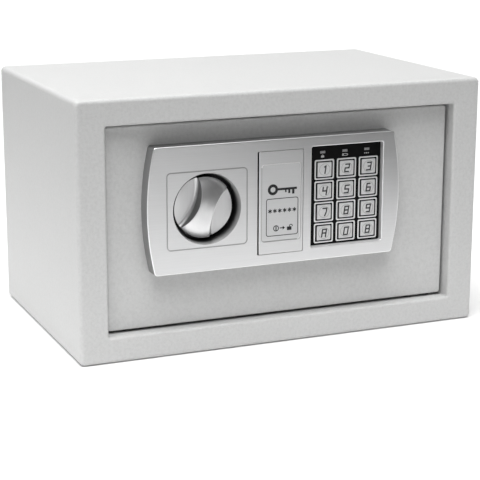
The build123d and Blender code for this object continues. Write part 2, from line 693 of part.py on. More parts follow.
# two round bolts riveted to the carriage
with BuildPart() as lock_bolts:
    with BuildSketch(side(BOLT_TIP)):
        with Locations(*[(y(BOLT_DEPTH), bz) for bz in BOLT_Z]):
            Circle(BOLT_D / 2)
    extrude(amount=CAR_X0 - BOLT_TIP)
    chamfer(lock_bolts.edges().group_by(Axis.X)[0], length=1.5)
    with BuildSketch(side(CAR_X0)):
        with Locations(*[(y(BOLT_DEPTH), bz) for bz in BOLT_Z]):
            Circle(3)
    extrude(amount=2)
    with BuildSketch(side(CAR_X0 + 2)):
        with Locations(*[(y(BOLT_DEPTH + 2.2), bz) for bz in BOLT_Z]):
            Circle(4.2)
    extrude(amount=1.4)
lock_bolts.part.label = "lock_bolts"
export_step(lock_bolts.part, "parts/lock_bolts.step")

# shoulder studs on the door that guide the carriage
with BuildPart() as bolt_guides:
    with BuildSketch(front(DOOR_BACK)):
        with Locations(*STUDS):
            Circle(4.0)
    extrude(amount=-(PLATE_D0 - DOOR_BACK - 0.2))
    with BuildSketch(front(DOOR_BACK)):
        with Locations(*STUDS):
            Circle(2.4)
    extrude(amount=-(PLATE_D1 - DOOR_BACK + 0.3))
    with BuildSketch(front(PLATE_D1 + 0.3)):
        with Locations(*STUDS):
            Circle(4.5)
    extrude(amount=-1.5)
    fillet(bolt_guides.edges().group_by(Axis.Y)[-1], radius=0.5)
bolt_guides.part.label = "bolt_guides"
export_step(bolt_guides.part, "parts/bolt_guides.step")

# solenoid that blocks the carriage with its plunger
SOL_X, SOL_D = -70.0, 21.5
with BuildPart() as solenoid_frame:
    with BuildSketch(side(SOL_X - 9)):
        with BuildLine():
            Polyline((y(DOOR_BACK), 30), (y(29), 30), (y(29), 31.5), (y(14.5), 31.5), (y(14.5), 48.5),
                     (y(29), 48.5), (y(29), 50), (y(DOOR_BACK), 50), (y(DOOR_BACK), 30))
        make_face()
    extrude(amount=18)
    with BuildSketch(level(47)):
        with Locations((SOL_X, y(SOL_D))):
            Circle(3.1)
    extrude(amount=5, mode=Mode.SUBTRACT)
solenoid_frame.part.label = "solenoid_frame"
export_step(solenoid_frame.part, "parts/solenoid_frame.step")

with BuildPart() as solenoid_coil:
    with BuildSketch(level(31.5)):
        with Locations((SOL_X, y(SOL_D))):
            Circle(6.9)
    extrude(amount=1.4)
    with BuildSketch(level(47.1)):
        with Locations((SOL_X, y(SOL_D))):
            Circle(6.9)
    extrude(amount=1.4)
    with BuildSketch(level(32.9)):
        with Locations((SOL_X, y(SOL_D))):
            Circle(6.3)
    extrude(amount=14.2)
    with BuildSketch(level(33)):
        with Locations((SOL_X, y(SOL_D))):
            Circle(3.15)
    extrude(amount=16, mode=Mode.SUBTRACT)
solenoid_coil.part.label = "solenoid_coil"
export_step(solenoid_coil.part, "parts/solenoid_coil.step")

with BuildPart() as solenoid_plunger:
    with BuildSketch(level(33.2)):
        with Locations((SOL_X, y(SOL_D))):
            Circle(2.95)
    extrude(amount=18.8)
    chamfer(solenoid_plunger.edges().group_by(Axis.Z)[-1], length=0.5)
solenoid_plunger.part.label = "solenoid_plunger"
export_step(solenoid_plunger.part, "parts/solenoid_plunger.step")

# ------------------------- electronics -------------------------------------

BOARD_X0, BOARD_X1, BOARD_Z0, BOARD_Z1 = 14.0, 90.0, 97.0, 157.0
BOARD_HOLES = ((18, 101), (86, 101), (18, 153), (86, 153))
BTN_X, BTN_Z = 53.0, 115.0
with BuildPart() as board_standoffs:
    with BuildSketch(front(DOOR_BACK)):
        with Locations(*BOARD_HOLES):
            RegularPolygon(3.0, 6, major_radius=False)
    extrude(amount=-(18.0 - DOOR_BACK))
    with BuildSketch(front(18.0)):
        with Locations(*BOARD_HOLES):
            Circle(1.5)
    extrude(amount=-1.6)
    with BuildSketch(front(19.6)):
        with Locations(*BOARD_HOLES):
            Circle(2.8)
    extrude(amount=-1.6)
board_standoffs.part.label = "board_standoffs"
export_step(board_standoffs.part, "parts/board_standoffs.step")

with BuildPart() as main_board:
    with BuildSketch(front(18.0)):
        with Locations(((BOARD_X0 + BOARD_X1) / 2, (BOARD_Z0 + BOARD_Z1) / 2)):
            RectangleRounded(BOARD_X1 - BOARD_X0, BOARD_Z1 - BOARD_Z0, 2)
        with Locations(*BOARD_HOLES):
            Circle(1.5, mode=Mode.SUBTRACT)
    extrude(amount=-1.6)
main_board.part.label = "main_board"
export_step(main_board.part, "parts/main_board.step")

# chip, capacitors, connectors, buzzer and the push switch on the board
with BuildPart() as board_components:
    with BuildSketch(front(19.6)):
        with Locations((34, 138)):
            Rectangle(14, 14)
        with Locations((62, 141)):
            Rectangle(9, 5)
        with Locations((62, 131)):
            Rectangle(9, 5)
    extrude(amount=-2.2)
    with BuildSketch(front(19.6)):
        with Locations((80, 141), (80, 129)):
            Circle(4)
    extrude(amount=-11)
    with BuildSketch(front(19.6)):
        with Locations((30, 104.5), (72, 103.5)):
            Rectangle(12, 5.5)
    extrude(amount=-7)
    with BuildSketch(front(19.6)):
        with Locations((30, 119)):
            Circle(6)
    extrude(amount=-6.5)
    with BuildSketch(front(19.6)):
        with Locations((BTN_X, BTN_Z)):
            Rectangle(6.2, 6.2)
    extrude(amount=-9)
board_components.part.label = "board_components"
export_step(board_components.part, "parts/board_components.step")

# battery tray standing on the door, four cells upright in it
BAT_X, BAT_Z = 52.0, 64.0
CELLS = [(BAT_X + (i - 1.5) * 15.2) for i in range(4)]
with BuildPart() as battery_holder:
    with BuildSketch(front(27.0)):
        with Locations((BAT_X, BAT_Z)):
            RectangleRounded(65, 56, 2)
    extrude(amount=-16.5)
    with BuildSketch(front(28.5)):
        with Locations((BAT_X, BAT_Z)):
            RectangleRounded(62, 53, 1)
    extrude(amount=-16, mode=Mode.SUBTRACT)
    with BuildSketch(front(DOOR_BACK)):
        with Locations((BAT_X - 25, BAT_Z - 20), (BAT_X + 25, BAT_Z - 20),
                       (BAT_X - 25, BAT_Z + 20), (BAT_X + 25, BAT_Z + 20)):
            Circle(3.5)
    extrude(amount=-(27.0 - DOOR_BACK))
battery_holder.part.label = "battery_holder"
export_step(battery_holder.part, "parts/battery_holder.step")

with BuildPart() as batteries:
    with BuildSketch(level(BAT_Z - 25.2)):
        with Locations(*[(cx, y(36.0)) for cx in CELLS]):
            Circle(7.1)
    extrude(amount=49.2)
    fillet(batteries.edges().filter_by(GeomType.CIRCLE), radius=0.7)
    with BuildSketch(level(BAT_Z + 24.0)):
        with Locations(*[(cx, y(36.0)) for cx in CELLS]):
            Circle(2.7)
    extrude(amount=1.3)
batteries.part.label = "batteries"
export_step(batteries.part, "parts/batteries.step")

# two leads from the tray to a board connector
with BuildPart() as battery_leads:
    for i, lx in enumerate((70.5, 73.5)):
        with BuildLine():
            FilletPolyline((lx, y(33), BAT_Z + 28), (lx, y(33), BAT_Z + 39.5), (lx, y(26.6), BAT_Z + 39.5), radius=4.5)
        with BuildSketch(Plane(origin=(lx, y(33), BAT_Z + 28), z_dir=(0, 0, 1))):
            Circle(0.8)
        sweep()
battery_leads.part.label = "battery_leads"
export_step(battery_leads.part, "parts/battery_leads.step")

# ------------------------- inner cover -------------------------------------

POSTS = ((CASE_X0 + 8, CASE_Z0 + 8), (CASE_X0 + 8, CASE_Z1 - 8), (CASE_X1 - 8, CASE_Z0 + 8), (CASE_X1 - 8, CASE_Z1 - 8))
with BuildPart() as case_standoffs:
    with BuildSketch(front(DOOR_BACK)):
        with Locations(*POSTS):
            RegularPolygon(3.8, 6, major_radius=False)
    extrude(amount=-(CASE_BACK - CASE_T - DOOR_BACK))
    with BuildSketch(front(CASE_BACK - CASE_T)):
        with Locations(*POSTS):
            Circle(2.0)
    extrude(amount=12, mode=Mode.SUBTRACT)
case_standoffs.part.label = "case_standoffs"
export_step(case_standoffs.part, "parts/case_standoffs.step")

with BuildPart() as lock_case:
    with BuildSketch(front(DOOR_BACK)):
        with Locations(((CASE_X0 + CASE_X1) / 2, (CASE_Z0 + CASE_Z1) / 2)):
            RectangleRounded(CASE_X1 - CASE_X0, CASE_Z1 - CASE_Z0, 4)
    extrude(amount=-(CASE_BACK - DOOR_BACK))
    fillet(lock_case.edges().group_by(Axis.Y)[-1], radius=2.4)
    with BuildSketch(front(DOOR_BACK)):
        with Locations(((CASE_X0 + CASE_X1) / 2, (CASE_Z0 + CASE_Z1) / 2)):
            RectangleRounded(CASE_X1 - CASE_X0 - 2 * CASE_T, CASE_Z1 - CASE_Z0 - 2 * CASE_T, 2.8)
    extrude(amount=-(CASE_BACK - DOOR_BACK - CASE_T), mode=Mode.SUBTRACT)
    # battery window, button hole, screw holes
    with BuildSketch(front(CASE_BACK - 4)):
        with Locations((BAT_X, BAT_Z)):
            RectangleRounded(61.0, 52.0, 2)
        with Locations((BTN_X, BTN_Z)):
            Circle(3.8)
        with Locations(*POSTS):
            Circle(2.1)
    extrude(amount=-6, mode=Mode.SUBTRACT)
    # holes for the bolts in the side wall
    with BuildSketch(side(CASE_X0 - 1)):
        with Locations(*[(y(BOLT_DEPTH), bz) for bz in BOLT_Z]):
            Circle(BOLT_D / 2 + 0.5)
    extrude(amount=4, mode=Mode.SUBTRACT)
lock_case.part.label = "lock_case"
export_step(lock_case.part, "parts/lock_case.step")

with BuildPart() as case_screws:
    with BuildSketch(front(CASE_BACK)):
        with Locations(*POSTS):
            Circle(2.0)
    extrude(amount=9)
    with BuildSketch(front(CASE_BACK)):
        with Locations(*POSTS):
            Circle(3.9)
    extrude(amount=-2.2)
    fillet(case_screws.edges().group_by(Axis.Y)[-1], radius=1.1)
    with BuildSketch(front(CASE_BACK + 2.2)):
        with Locations(*POSTS):
            Rectangle(4.2, 0.9)
            Rectangle(0.9, 4.2)
    extrude(amount=1.3, mode=Mode.SUBTRACT)
case_screws.part.label = "case_screws"
export_step(case_screws.part, "parts/case_screws.step")

with BuildPart() as battery_cover:
    with BuildSketch(front(CASE_BACK)):
        with Locations((BAT_X, BAT_Z)):
            RectangleRounded(68, 59, 3.5)
    extrude(amount=-2.0)
    fillet(battery_cover.edges().group_by(Axis.Y)[-1], radius=0.8)
    # locating rim inside the window
    with BuildSketch(front(CASE_BACK)):
        with Locations((BAT_X, BAT_Z)):
            RectangleRounded(60.4, 51.4, 1.8)
            RectangleRounded(57.4, 48.4, 1.0, mode=Mode.SUBTRACT)
    extrude(amount=1.1)
    # finger grip grooves
    with BuildSketch(front(CASE_BACK + 2.0)):
        with Locations(*[(BAT_X, BAT_Z + 17 + 2.4 * i) for i in range(4)]):
            SlotOverall(20, 1.2)
    extrude(amount=0.6, mode=Mode.SUBTRACT)
battery_cover.part.label = "battery_cover"
export_step(battery_cover.part, "parts/battery_cover.step")

# push button for setting a code
with BuildPart() as code_button:
    with BuildSketch(front(31.0)):
        with Locations((BTN_X, BTN_Z)):
            Circle(2.2)
    extrude(amount=-12)
    with BuildSketch(front(42.0)):
        with Locations((BTN_X, BTN_Z)):
            Circle(5.0)
    extrude(amount=-1.4)
    with BuildSketch(front(43.0)):
        with Locations((BTN_X, BTN_Z)):
            Circle(3.4)
    extrude(amount=-5.4)
    fillet(code_button.edges().group_by(Axis.Y)[-1], radius=0.7)
code_button.part.label = "code_button"
export_step(code_button.part, "parts/code_button.step")
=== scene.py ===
import json
import math

import bmesh
import bpy
import numpy as np
from mathutils import Matrix, Vector


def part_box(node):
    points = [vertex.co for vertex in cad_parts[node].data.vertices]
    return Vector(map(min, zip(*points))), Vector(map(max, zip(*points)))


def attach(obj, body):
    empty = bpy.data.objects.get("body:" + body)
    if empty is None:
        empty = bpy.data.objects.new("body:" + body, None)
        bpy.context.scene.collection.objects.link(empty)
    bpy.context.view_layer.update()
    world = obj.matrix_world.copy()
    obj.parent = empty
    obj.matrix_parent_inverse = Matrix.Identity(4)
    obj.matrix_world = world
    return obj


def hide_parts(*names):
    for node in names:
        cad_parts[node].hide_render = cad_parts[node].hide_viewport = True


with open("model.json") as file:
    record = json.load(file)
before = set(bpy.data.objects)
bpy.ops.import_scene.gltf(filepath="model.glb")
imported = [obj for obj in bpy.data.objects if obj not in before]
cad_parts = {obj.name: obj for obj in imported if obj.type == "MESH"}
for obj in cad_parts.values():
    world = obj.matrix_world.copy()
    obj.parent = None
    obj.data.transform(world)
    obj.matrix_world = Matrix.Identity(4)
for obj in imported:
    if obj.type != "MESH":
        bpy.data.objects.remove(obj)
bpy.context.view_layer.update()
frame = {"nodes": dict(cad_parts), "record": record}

NODES = frame["nodes"]
SCENE = bpy.context.scene
MM = 0.001


# ------------------------------------------------------------------ materials

def new_material(name):
    m = bpy.data.materials.new(name)
    m.use_nodes = True
    nt = m.node_tree
    nt.nodes.clear()
    out = nt.nodes.new("ShaderNodeOutputMaterial")
    bsdf = nt.nodes.new("ShaderNodeBsdfPrincipled")
    nt.links.new(bsdf.outputs["BSDF"], out.inputs["Surface"])
    return m, nt, bsdf


def place(nt, scale=(1, 1, 1), rotation=(0, 0, 0)):
    tc = nt.nodes.new("ShaderNodeTexCoord")
    mp = nt.nodes.new("ShaderNodeMapping")
    mp.inputs["Scale"].default_value = scale
    mp.inputs["Rotation"].default_value = rotation
    nt.links.new(tc.outputs["Object"], mp.inputs["Vector"])
    return mp.outputs["Vector"]


def noise(nt, vec, scale, detail=2.0, rough=0.5, distort=0.0):
    n = nt.nodes.new("ShaderNodeTexNoise")
    n.inputs["Scale"].default_value = scale
    n.inputs["Detail"].default_value = detail
    n.inputs["Roughness"].default_value = rough
    n.inputs["Distortion"].default_value = distort
    nt.links.new(vec, n.inputs["Vector"])
    return n.outputs["Fac"]


def cells(nt, vec, scale, feature="F1", out="Distance"):
    n = nt.nodes.new("ShaderNodeTexVoronoi")
    n.feature = feature
    n.inputs["Scale"].default_value = scale
    nt.links.new(vec, n.inputs["Vector"])
    return n.outputs[out]


def waves(nt, vec, scale, axis="X", distort=0.0, detail=2.0):
    n = nt.nodes.new("ShaderNodeTexWave")
    n.wave_type = "BANDS"
    n.bands_direction = axis
    n.inputs["Scale"].default_value = scale
    n.inputs["Distortion"].default_value = distort
    n.inputs["Detail"].default_value = detail
    nt.links.new(vec, n.inputs["Vector"])
    return n.outputs["Fac"]


def ramp(nt, fac, stops, interpolation="LINEAR"):
    r = nt.nodes.new("ShaderNodeValToRGB")
    r.color_ramp.interpolation = interpolation
    el = r.color_ramp.elements
    while len(el) < len(stops):
        el.new(0.5)
    for e, (pos, col) in zip(el, stops):
        e.position = pos
        e.color = (col[0], col[1], col[2], 1.0)
    nt.links.new(fac, r.inputs["Fac"])
    return r.outputs["Color"]


def span(nt, fac, low, high, a=0.0, b=1.0):
    m = nt.nodes.new("ShaderNodeMapRange")
    m.inputs["From Min"].default_value = a
    m.inputs["From Max"].default_value = b
    m.inputs["To Min"].default_value = low
    m.inputs["To Max"].default_value = high
    nt.links.new(fac, m.inputs["Value"])
    return m.outputs["Result"]


def blended(nt, fac, c1, c2, mode="MIX"):
    m = nt.nodes.new("ShaderNodeMix")
    m.data_type = "RGBA"
    m.blend_type = mode
    if isinstance(fac, float):
        m.inputs[0].default_value = fac
    else:
        nt.links.new(fac, m.inputs[0])
    nt.links.new(c1, m.inputs[6])
    nt.links.new(c2, m.inputs[7])
    return m.outputs[2]


def maths(nt, op, a, b):
    m = nt.nodes.new("ShaderNodeMath")
    m.operation = op
    for k, v in enumerate((a, b)):
        if isinstance(v, (int, float)):
            m.inputs[k].default_value = v
        else:
            nt.links.new(v, m.inputs[k])
    return m.outputs[0]


def bumped(nt, bsdf, height, strength, distance, chain=None):
    b = nt.nodes.new("ShaderNodeBump")
    b.inputs["Strength"].default_value = strength
    b.inputs["Distance"].default_value = distance
    nt.links.new(height, b.inputs["Height"])
    if chain is not None:
        nt.links.new(chain, b.inputs["Normal"])
    nt.links.new(b.outputs["Normal"], bsdf.inputs["Normal"])
    return b.outputs["Normal"]


def tint(c, k):
    return tuple(min(1.0, x * k) for x in c)


def powder_coat(name, base, grain=1350.0, rough=(0.42, 0.6), bump=0.35, specular=0.42):
    """Baked powder coat: fine orange peel, small mottle, broad tone drift."""
    m, nt, b = new_material(name)
    v = place(nt)
    fine = noise(nt, v, grain, 2.0, 0.6)
    peel = noise(nt, v, grain * 0.36, 1.5, 0.5)
    broad = noise(nt, v, 11.0, 2.0, 0.5)
    tone = ramp(nt, maths(nt, "ADD", maths(nt, "MULTIPLY", fine, 0.45), maths(nt, "MULTIPLY", peel, 0.55)),
                [(0.34, tint(base, 0.93)), (0.5, base), (0.66, tint(base, 1.05))])
    tone_drift_and_painted_gradient = ramp(nt, broad, [(0.3, (0.985, 0.985, 0.985)), (0.7, (1.0, 1.0, 1.0))])
    nt.links.new(blended(nt, 1.0, tone, tone_drift_and_painted_gradient, "MULTIPLY"), b.inputs["Base Color"])
    nt.links.new(span(nt, peel, rough[0], rough[1], 0.3, 0.7), b.inputs["Roughness"])
    b.inputs["Specular IOR Level"].default_value = specular
    n1 = bumped(nt, b, peel, bump * 1.3, 0.00022)
    bumped(nt, b, fine, bump, 0.00006, n1)
    return m


def facing(nt, axis="Y"):
    """1 on faces that look along the part's own front-back axis (or the named one), 0 on its side walls."""
    tc = nt.nodes.new("ShaderNodeTexCoord")
    sep = nt.nodes.new("ShaderNodeSeparateXYZ")
    nt.links.new(tc.outputs["Normal"], sep.inputs[0])
    return maths(nt, "ABSOLUTE", sep.outputs[axis], 0.0)


def within_box(nt):
    """Place inside the part's own box, each axis 0 to 1 (y counts from the front)."""
    tc = nt.nodes.new("ShaderNodeTexCoord")
    sep = nt.nodes.new("ShaderNodeSeparateXYZ")
    nt.links.new(tc.outputs["Generated"], sep.inputs[0])
    return sep.outputs["X"], sep.outputs["Y"], sep.outputs["Z"]


def outer_wall(nt, gx, gz, mx, mz):
    ax = maths(nt, "ABSOLUTE", maths(nt, "SUBTRACT", gx, 0.5), 0.0)
    az = maths(nt, "ABSOLUTE", maths(nt, "SUBTRACT", gz, 0.5), 0.0)
    return maths(nt, "MAXIMUM", maths(nt, "GREATER_THAN", ax, mx), maths(nt, "GREATER_THAN", az, mz))


def painted_edge_highlight(nt, ny, gain):
    # Painted highlight: lightens the rounded edges where a front face turns into a side wall, by up to gain.
    r = ramp(nt, ny, [(0.50, (0, 0, 0)), (0.72, (1, 1, 1)), (0.90, (1, 1, 1)), (0.985, (0, 0, 0))])
    return maths(nt, "ADD", maths(nt, "MULTIPLY", r, gain), 1.0)


def fascia_painted_light(nt):
    """Painted light and shade for the moulding: painted shade on its side walls, most on the top and bottom walls, a
    painted highlight along its edges, painted shade deepening into the dish, pocket and pad floors, and a painted
    gradient darker towards the top and the left.
    """
    lo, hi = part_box("control_fascia")
    depth = (hi.y - lo.y) / MM
    ny = facing(nt)
    gx, gy, gz = within_box(nt)
    outer = outer_wall(nt, gx, gz, 0.462, 0.482)
    wall = maths(nt, "MULTIPLY", outer, span(nt, ny, 1.0, 0.0, 0.3, 0.62))
    # Painted shade: side walls darkened to 0.4 of the colour, the top and bottom walls to 0.2.
    side_shade = maths(nt, "SUBTRACT", 1.0, maths(nt, "MULTIPLY", wall, span(nt, facing(nt, "Z"), 0.60, 0.80, 0.4, 0.9)))
    # Painted light gradient: colour darker towards the top and the left of the moulding.
    tone_drift_and_painted_gradient = maths(nt, "MULTIPLY", span(nt, gz, 1.075, 0.925), span(nt, gx, 0.97, 1.045))
    side_shade = maths(nt, "MULTIPLY", side_shade, tone_drift_and_painted_gradient)
    d = maths(nt, "MULTIPLY", gy, depth)
    # Painted shade: colour darkens with depth into the dish around the knob, to near black at its floor.
    dish_shade = ramp(nt, maths(nt, "DIVIDE", d, 12.0), [(0.003, (1, 1, 1)), (0.02, (0.66, 0.66, 0.66)),
                                                  (0.22, (0.40, 0.40, 0.40)), (0.42, (0.05, 0.05, 0.05)),
                                                  (0.6, (0.015, 0.015, 0.015))])
    # Painted shade: colour darkens with depth in the pocket and in the pad recess.
    pocket_shade = span(nt, d, 1.0, 0.10, 0.4, 1.6)
    pad_shade = span(nt, d, 1.0, 0.5, 3.6, 5.0)
    at_dish = maths(nt, "LESS_THAN", gx, 0.39)
    at_pad = maths(nt, "GREATER_THAN", gx, 0.62)
    at_plate = maths(nt, "SUBTRACT", 1.0, maths(nt, "ADD", at_dish, at_pad))
    recess_shade = maths(nt, "ADD", maths(nt, "ADD", maths(nt, "MULTIPLY", at_dish, dish_shade),
                                  maths(nt, "MULTIPLY", at_plate, pocket_shade)), maths(nt, "MULTIPLY", at_pad, pad_shade))
    recess_shade = maths(nt, "MAXIMUM", recess_shade, outer)
    return maths(nt, "MULTIPLY", maths(nt, "MULTIPLY", side_shade, recess_shade), painted_edge_highlight(nt, ny, 0.55))


def plate_painted_light(nt):
    # Painted shade on the nameplate cover's side walls and a painted highlight along its edges.
    ny = facing(nt)
    gx, gy, gz = within_box(nt)
    wall = maths(nt, "MULTIPLY", outer_wall(nt, gx, gz, 0.485, 0.49), span(nt, ny, 1.0, 0.0, 0.3, 0.62))
    side_shade = maths(nt, "SUBTRACT", 1.0, maths(nt, "MULTIPLY", wall, 0.88))
    return maths(nt, "MULTIPLY", side_shade, painted_edge_highlight(nt, ny, 0.50))


def cap_painted_shade(nt):
    # Painted shade: the side walls of the key caps and rims go dark, so the gaps between them read black.
    return span(nt, facing(nt), 0.10, 1.0, 0.25, 0.55)


def knob_painted_light(nt):
    lo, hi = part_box("knob")
    gx, gy, gz = within_box(nt)
    ax, az = maths(nt, "SUBTRACT", gx, 0.5), maths(nt, "SUBTRACT", gz, 0.5)
    rr = maths(nt, "ADD", maths(nt, "MULTIPLY", ax, ax), maths(nt, "MULTIPLY", az, az))
    # Painted shade: the knob's outer rim goes near black towards its back, where it sits deep in the dish.
    rim = maths(nt, "MULTIPLY", maths(nt, "GREATER_THAN", rr, 0.4935 ** 2),
                span(nt, maths(nt, "MULTIPLY", gy, (hi.y - lo.y) / MM), 0.0, 0.95, 6.3, 7.2))
    ny = facing(nt)
    # Painted shade on the steep flanks of the grip and a painted highlight along its edges.
    flank_shade_and_highlight = maths(nt, "MULTIPLY", span(nt, ny, 0.50, 1.0, 0.25, 0.6), painted_edge_highlight(nt, ny, 0.40))
    return maths(nt, "MULTIPLY", maths(nt, "SUBTRACT", 1.0, rim), flank_shade_and_highlight)


def satin_metal(name, base, rough=(0.29, 0.34), metallic=0.85, along="X", brush=0.12,
                lines=2600.0, streak=30.0, specular=0.5, tone=None, wall_metal=None):
    """Satin metal or metallised plastic, rubbed in one direction."""
    m, nt, b = new_material(name)
    s = {"X": (streak, lines, lines), "Y": (lines, streak, lines), "Z": (lines, lines, streak)}[along]
    v = place(nt, s)
    lin = noise(nt, v, 1.0, 3.0, 0.62)
    v2 = place(nt, tuple(k * 0.4 for k in s))
    wide = noise(nt, v2, 1.0, 2.0, 0.5)
    grain = noise(nt, place(nt), 900.0, 1.0, 0.5)
    mix = maths(nt, "ADD", maths(nt, "MULTIPLY", lin, 0.65), maths(nt, "MULTIPLY", wide, 0.35))
    col = ramp(nt, mix, [(0.34, tint(base, 0.965)), (0.5, base), (0.68, tint(base, 1.03))])
    # tone, when given, multiplies painted light and shade into the colour.
    if tone is not None:
        col = blended(nt, 1.0, col, tone(nt), "MULTIPLY")
    nt.links.new(col, b.inputs["Base Color"])
    nt.links.new(span(nt, mix, rough[0], rough[1], 0.3, 0.7), b.inputs["Roughness"])
    b.inputs["Metallic"].default_value = metallic
    if wall_metal is not None:
        nt.links.new(span(nt, facing(nt), wall_metal, metallic, 0.2, 0.6), b.inputs["Metallic"])
    b.inputs["Specular IOR Level"].default_value = specular
    n1 = bumped(nt, b, grain, 0.10, 0.00004)
    bumped(nt, b, lin, brush, 0.00003, n1)
    return m


def speckled(name, c1, c2, scale, rough=(0.3, 0.45), metallic=0.0, bump=0.15, depth=0.00005,
             specular=0.5, detail=2.0, coat=0.0, tone=None):
    """Moulded or cast stuff: two close colours in a fine mottle."""
    m, nt, b = new_material(name)
    v = place(nt)
    f = noise(nt, v, scale, detail, 0.55)
    g = noise(nt, v, scale * 0.07, 2.0, 0.5)
    col = ramp(nt, f, [(0.35, c1), (0.65, c2)])
    tone_drift_and_painted_gradient = ramp(nt, g, [(0.3, (0.93, 0.93, 0.93)), (0.7, (1.0, 1.0, 1.0))])
    col = blended(nt, 1.0, col, tone_drift_and_painted_gradient, "MULTIPLY")
    # tone, when given, multiplies painted shade into the colour.
    if tone is not None:
        col = blended(nt, 1.0, col, tone(nt), "MULTIPLY")
    nt.links.new(col, b.inputs["Base Color"])
    nt.links.new(span(nt, g, rough[0], rough[1], 0.3, 0.7), b.inputs["Roughness"])
    b.inputs["Metallic"].default_value = metallic
    b.inputs["Specular IOR Level"].default_value = specular
    if coat:
        b.inputs["Coat Weight"].default_value = coat
        b.inputs["Coat Roughness"].default_value = 0.08
    bumped(nt, b, f, bump, depth)
    return m


def zinc_plate(name):
    m, nt, b = new_material(name)
    v = place(nt)
    sp = cells(nt, v, 420.0, "F1", "Color")
    lines = noise(nt, place(nt, (1100, 1100, 60)), 1.0, 2.0, 0.6)
    tone = nt.nodes.new("ShaderNodeSeparateColor")
    nt.links.new(sp, tone.inputs[0])
    c = ramp(nt, tone.outputs[0], [(0.0, (0.50, 0.51, 0.50)), (0.5, (0.62, 0.62, 0.59)), (1.0, (0.70, 0.69, 0.63))])
    nt.links.new(c, b.inputs["Base Color"])
    nt.links.new(span(nt, tone.outputs[1], 0.28, 0.46), b.inputs["Roughness"])
    b.inputs["Metallic"].default_value = 1.0
    bumped(nt, b, lines, 0.18, 0.00003)
    return m


def circuit_board(name):
    m, nt, b = new_material(name)
    v = place(nt, (1, 1, 1))
    tracks = waves(nt, place(nt, (1, 1, 1)), 260.0, "X", 14.0, 2.0)
    rows = waves(nt, place(nt, (1, 1, 1)), 230.0, "Z", 9.0, 2.0)
    mixv = maths(nt, "MAXIMUM", tracks, rows)
    c = ramp(nt, mixv, [(0.0, (0.012, 0.085, 0.035)), (0.80, (0.016, 0.115, 0.045)), (0.93, (0.045, 0.22, 0.09)),
                        (1.0, (0.06, 0.25, 0.10))])
    pads = cells(nt, v, 330.0, "F1")
    dots = ramp(nt, pads, [(0.0, (1, 1, 1)), (0.10, (1, 1, 1)), (0.13, (0, 0, 0))])
    solder = ramp(nt, noise(nt, v, 600.0), [(0.3, (0.55, 0.55, 0.52)), (0.7, (0.7, 0.7, 0.66))])
    fac = nt.nodes.new("ShaderNodeRGBToBW")
    nt.links.new(dots, fac.inputs[0])
    nt.links.new(blended(nt, fac.outputs[0], c, solder), b.inputs["Base Color"])
    nt.links.new(span(nt, fac.outputs[0], 0.0, 0.9), b.inputs["Metallic"])
    nt.links.new(span(nt, rows, 0.22, 0.36), b.inputs["Roughness"])
    bumped(nt, b, mixv, 0.25, 0.00004)
    return m


def winding(name):
    m, nt, b = new_material(name)
    turns = waves(nt, place(nt), 680.0, "Z", 0.4, 1.0)
    n = noise(nt, place(nt), 700.0)
    # Painted shade and highlight: colour dark in the groove between turns and bright on each turn's crown.
    c = ramp(nt, turns, [(0.0, (0.10, 0.025, 0.008)), (0.5, (0.42, 0.14, 0.045)), (1.0, (0.62, 0.25, 0.09))])
    nt.links.new(c, b.inputs["Base Color"])
    nt.links.new(span(nt, n, 0.25, 0.4), b.inputs["Roughness"])
    b.inputs["Metallic"].default_value = 0.7
    bumped(nt, b, turns, 0.7, 0.00012)
    return m


def jacket(name):
    """Round cells in a printed wrapper, banded along X."""
    m, nt, b = new_material(name)
    sep = nt.nodes.new("ShaderNodeSeparateXYZ")
    nt.links.new(place(nt), sep.inputs[0])
    band = ramp(nt, maths(nt, "FRACT", maths(nt, "MULTIPLY", sep.outputs[0], 19.6), 0.0),
                [(0.0, (0.72, 0.70, 0.66)), (0.06, (0.03, 0.05, 0.12)), (0.55, (0.04, 0.07, 0.17)),
                 (0.60, (0.60, 0.44, 0.16)), (0.80, (0.55, 0.40, 0.14)), (0.86, (0.03, 0.05, 0.12)),
                 (0.96, (0.70, 0.68, 0.64))], "CONSTANT")
    n = noise(nt, place(nt), 320.0)
    wear = ramp(nt, n, [(0.3, (0.88, 0.88, 0.88)), (0.7, (1, 1, 1))])
    nt.links.new(blended(nt, 1.0, band, wear, "MULTIPLY"), b.inputs["Base Color"])
    nt.links.new(span(nt, n, 0.2, 0.34), b.inputs["Roughness"])
    bumped(nt, b, n, 0.1, 0.00004)
    return m


def frosted_lens(name):
    m, nt, b = new_material(name)
    v = place(nt)
    f = noise(nt, v, 1500.0, 2.0)
    c = ramp(nt, f, [(0.3, (0.20, 0.20, 0.205)), (0.7, (0.33, 0.33, 0.335))])
    nt.links.new(c, b.inputs["Base Color"])
    nt.links.new(span(nt, f, 0.18, 0.34), b.inputs["Roughness"])
    b.inputs["Coat Weight"].default_value = 0.3
    bumped(nt, b, f, 0.2, 0.00003)
    return m


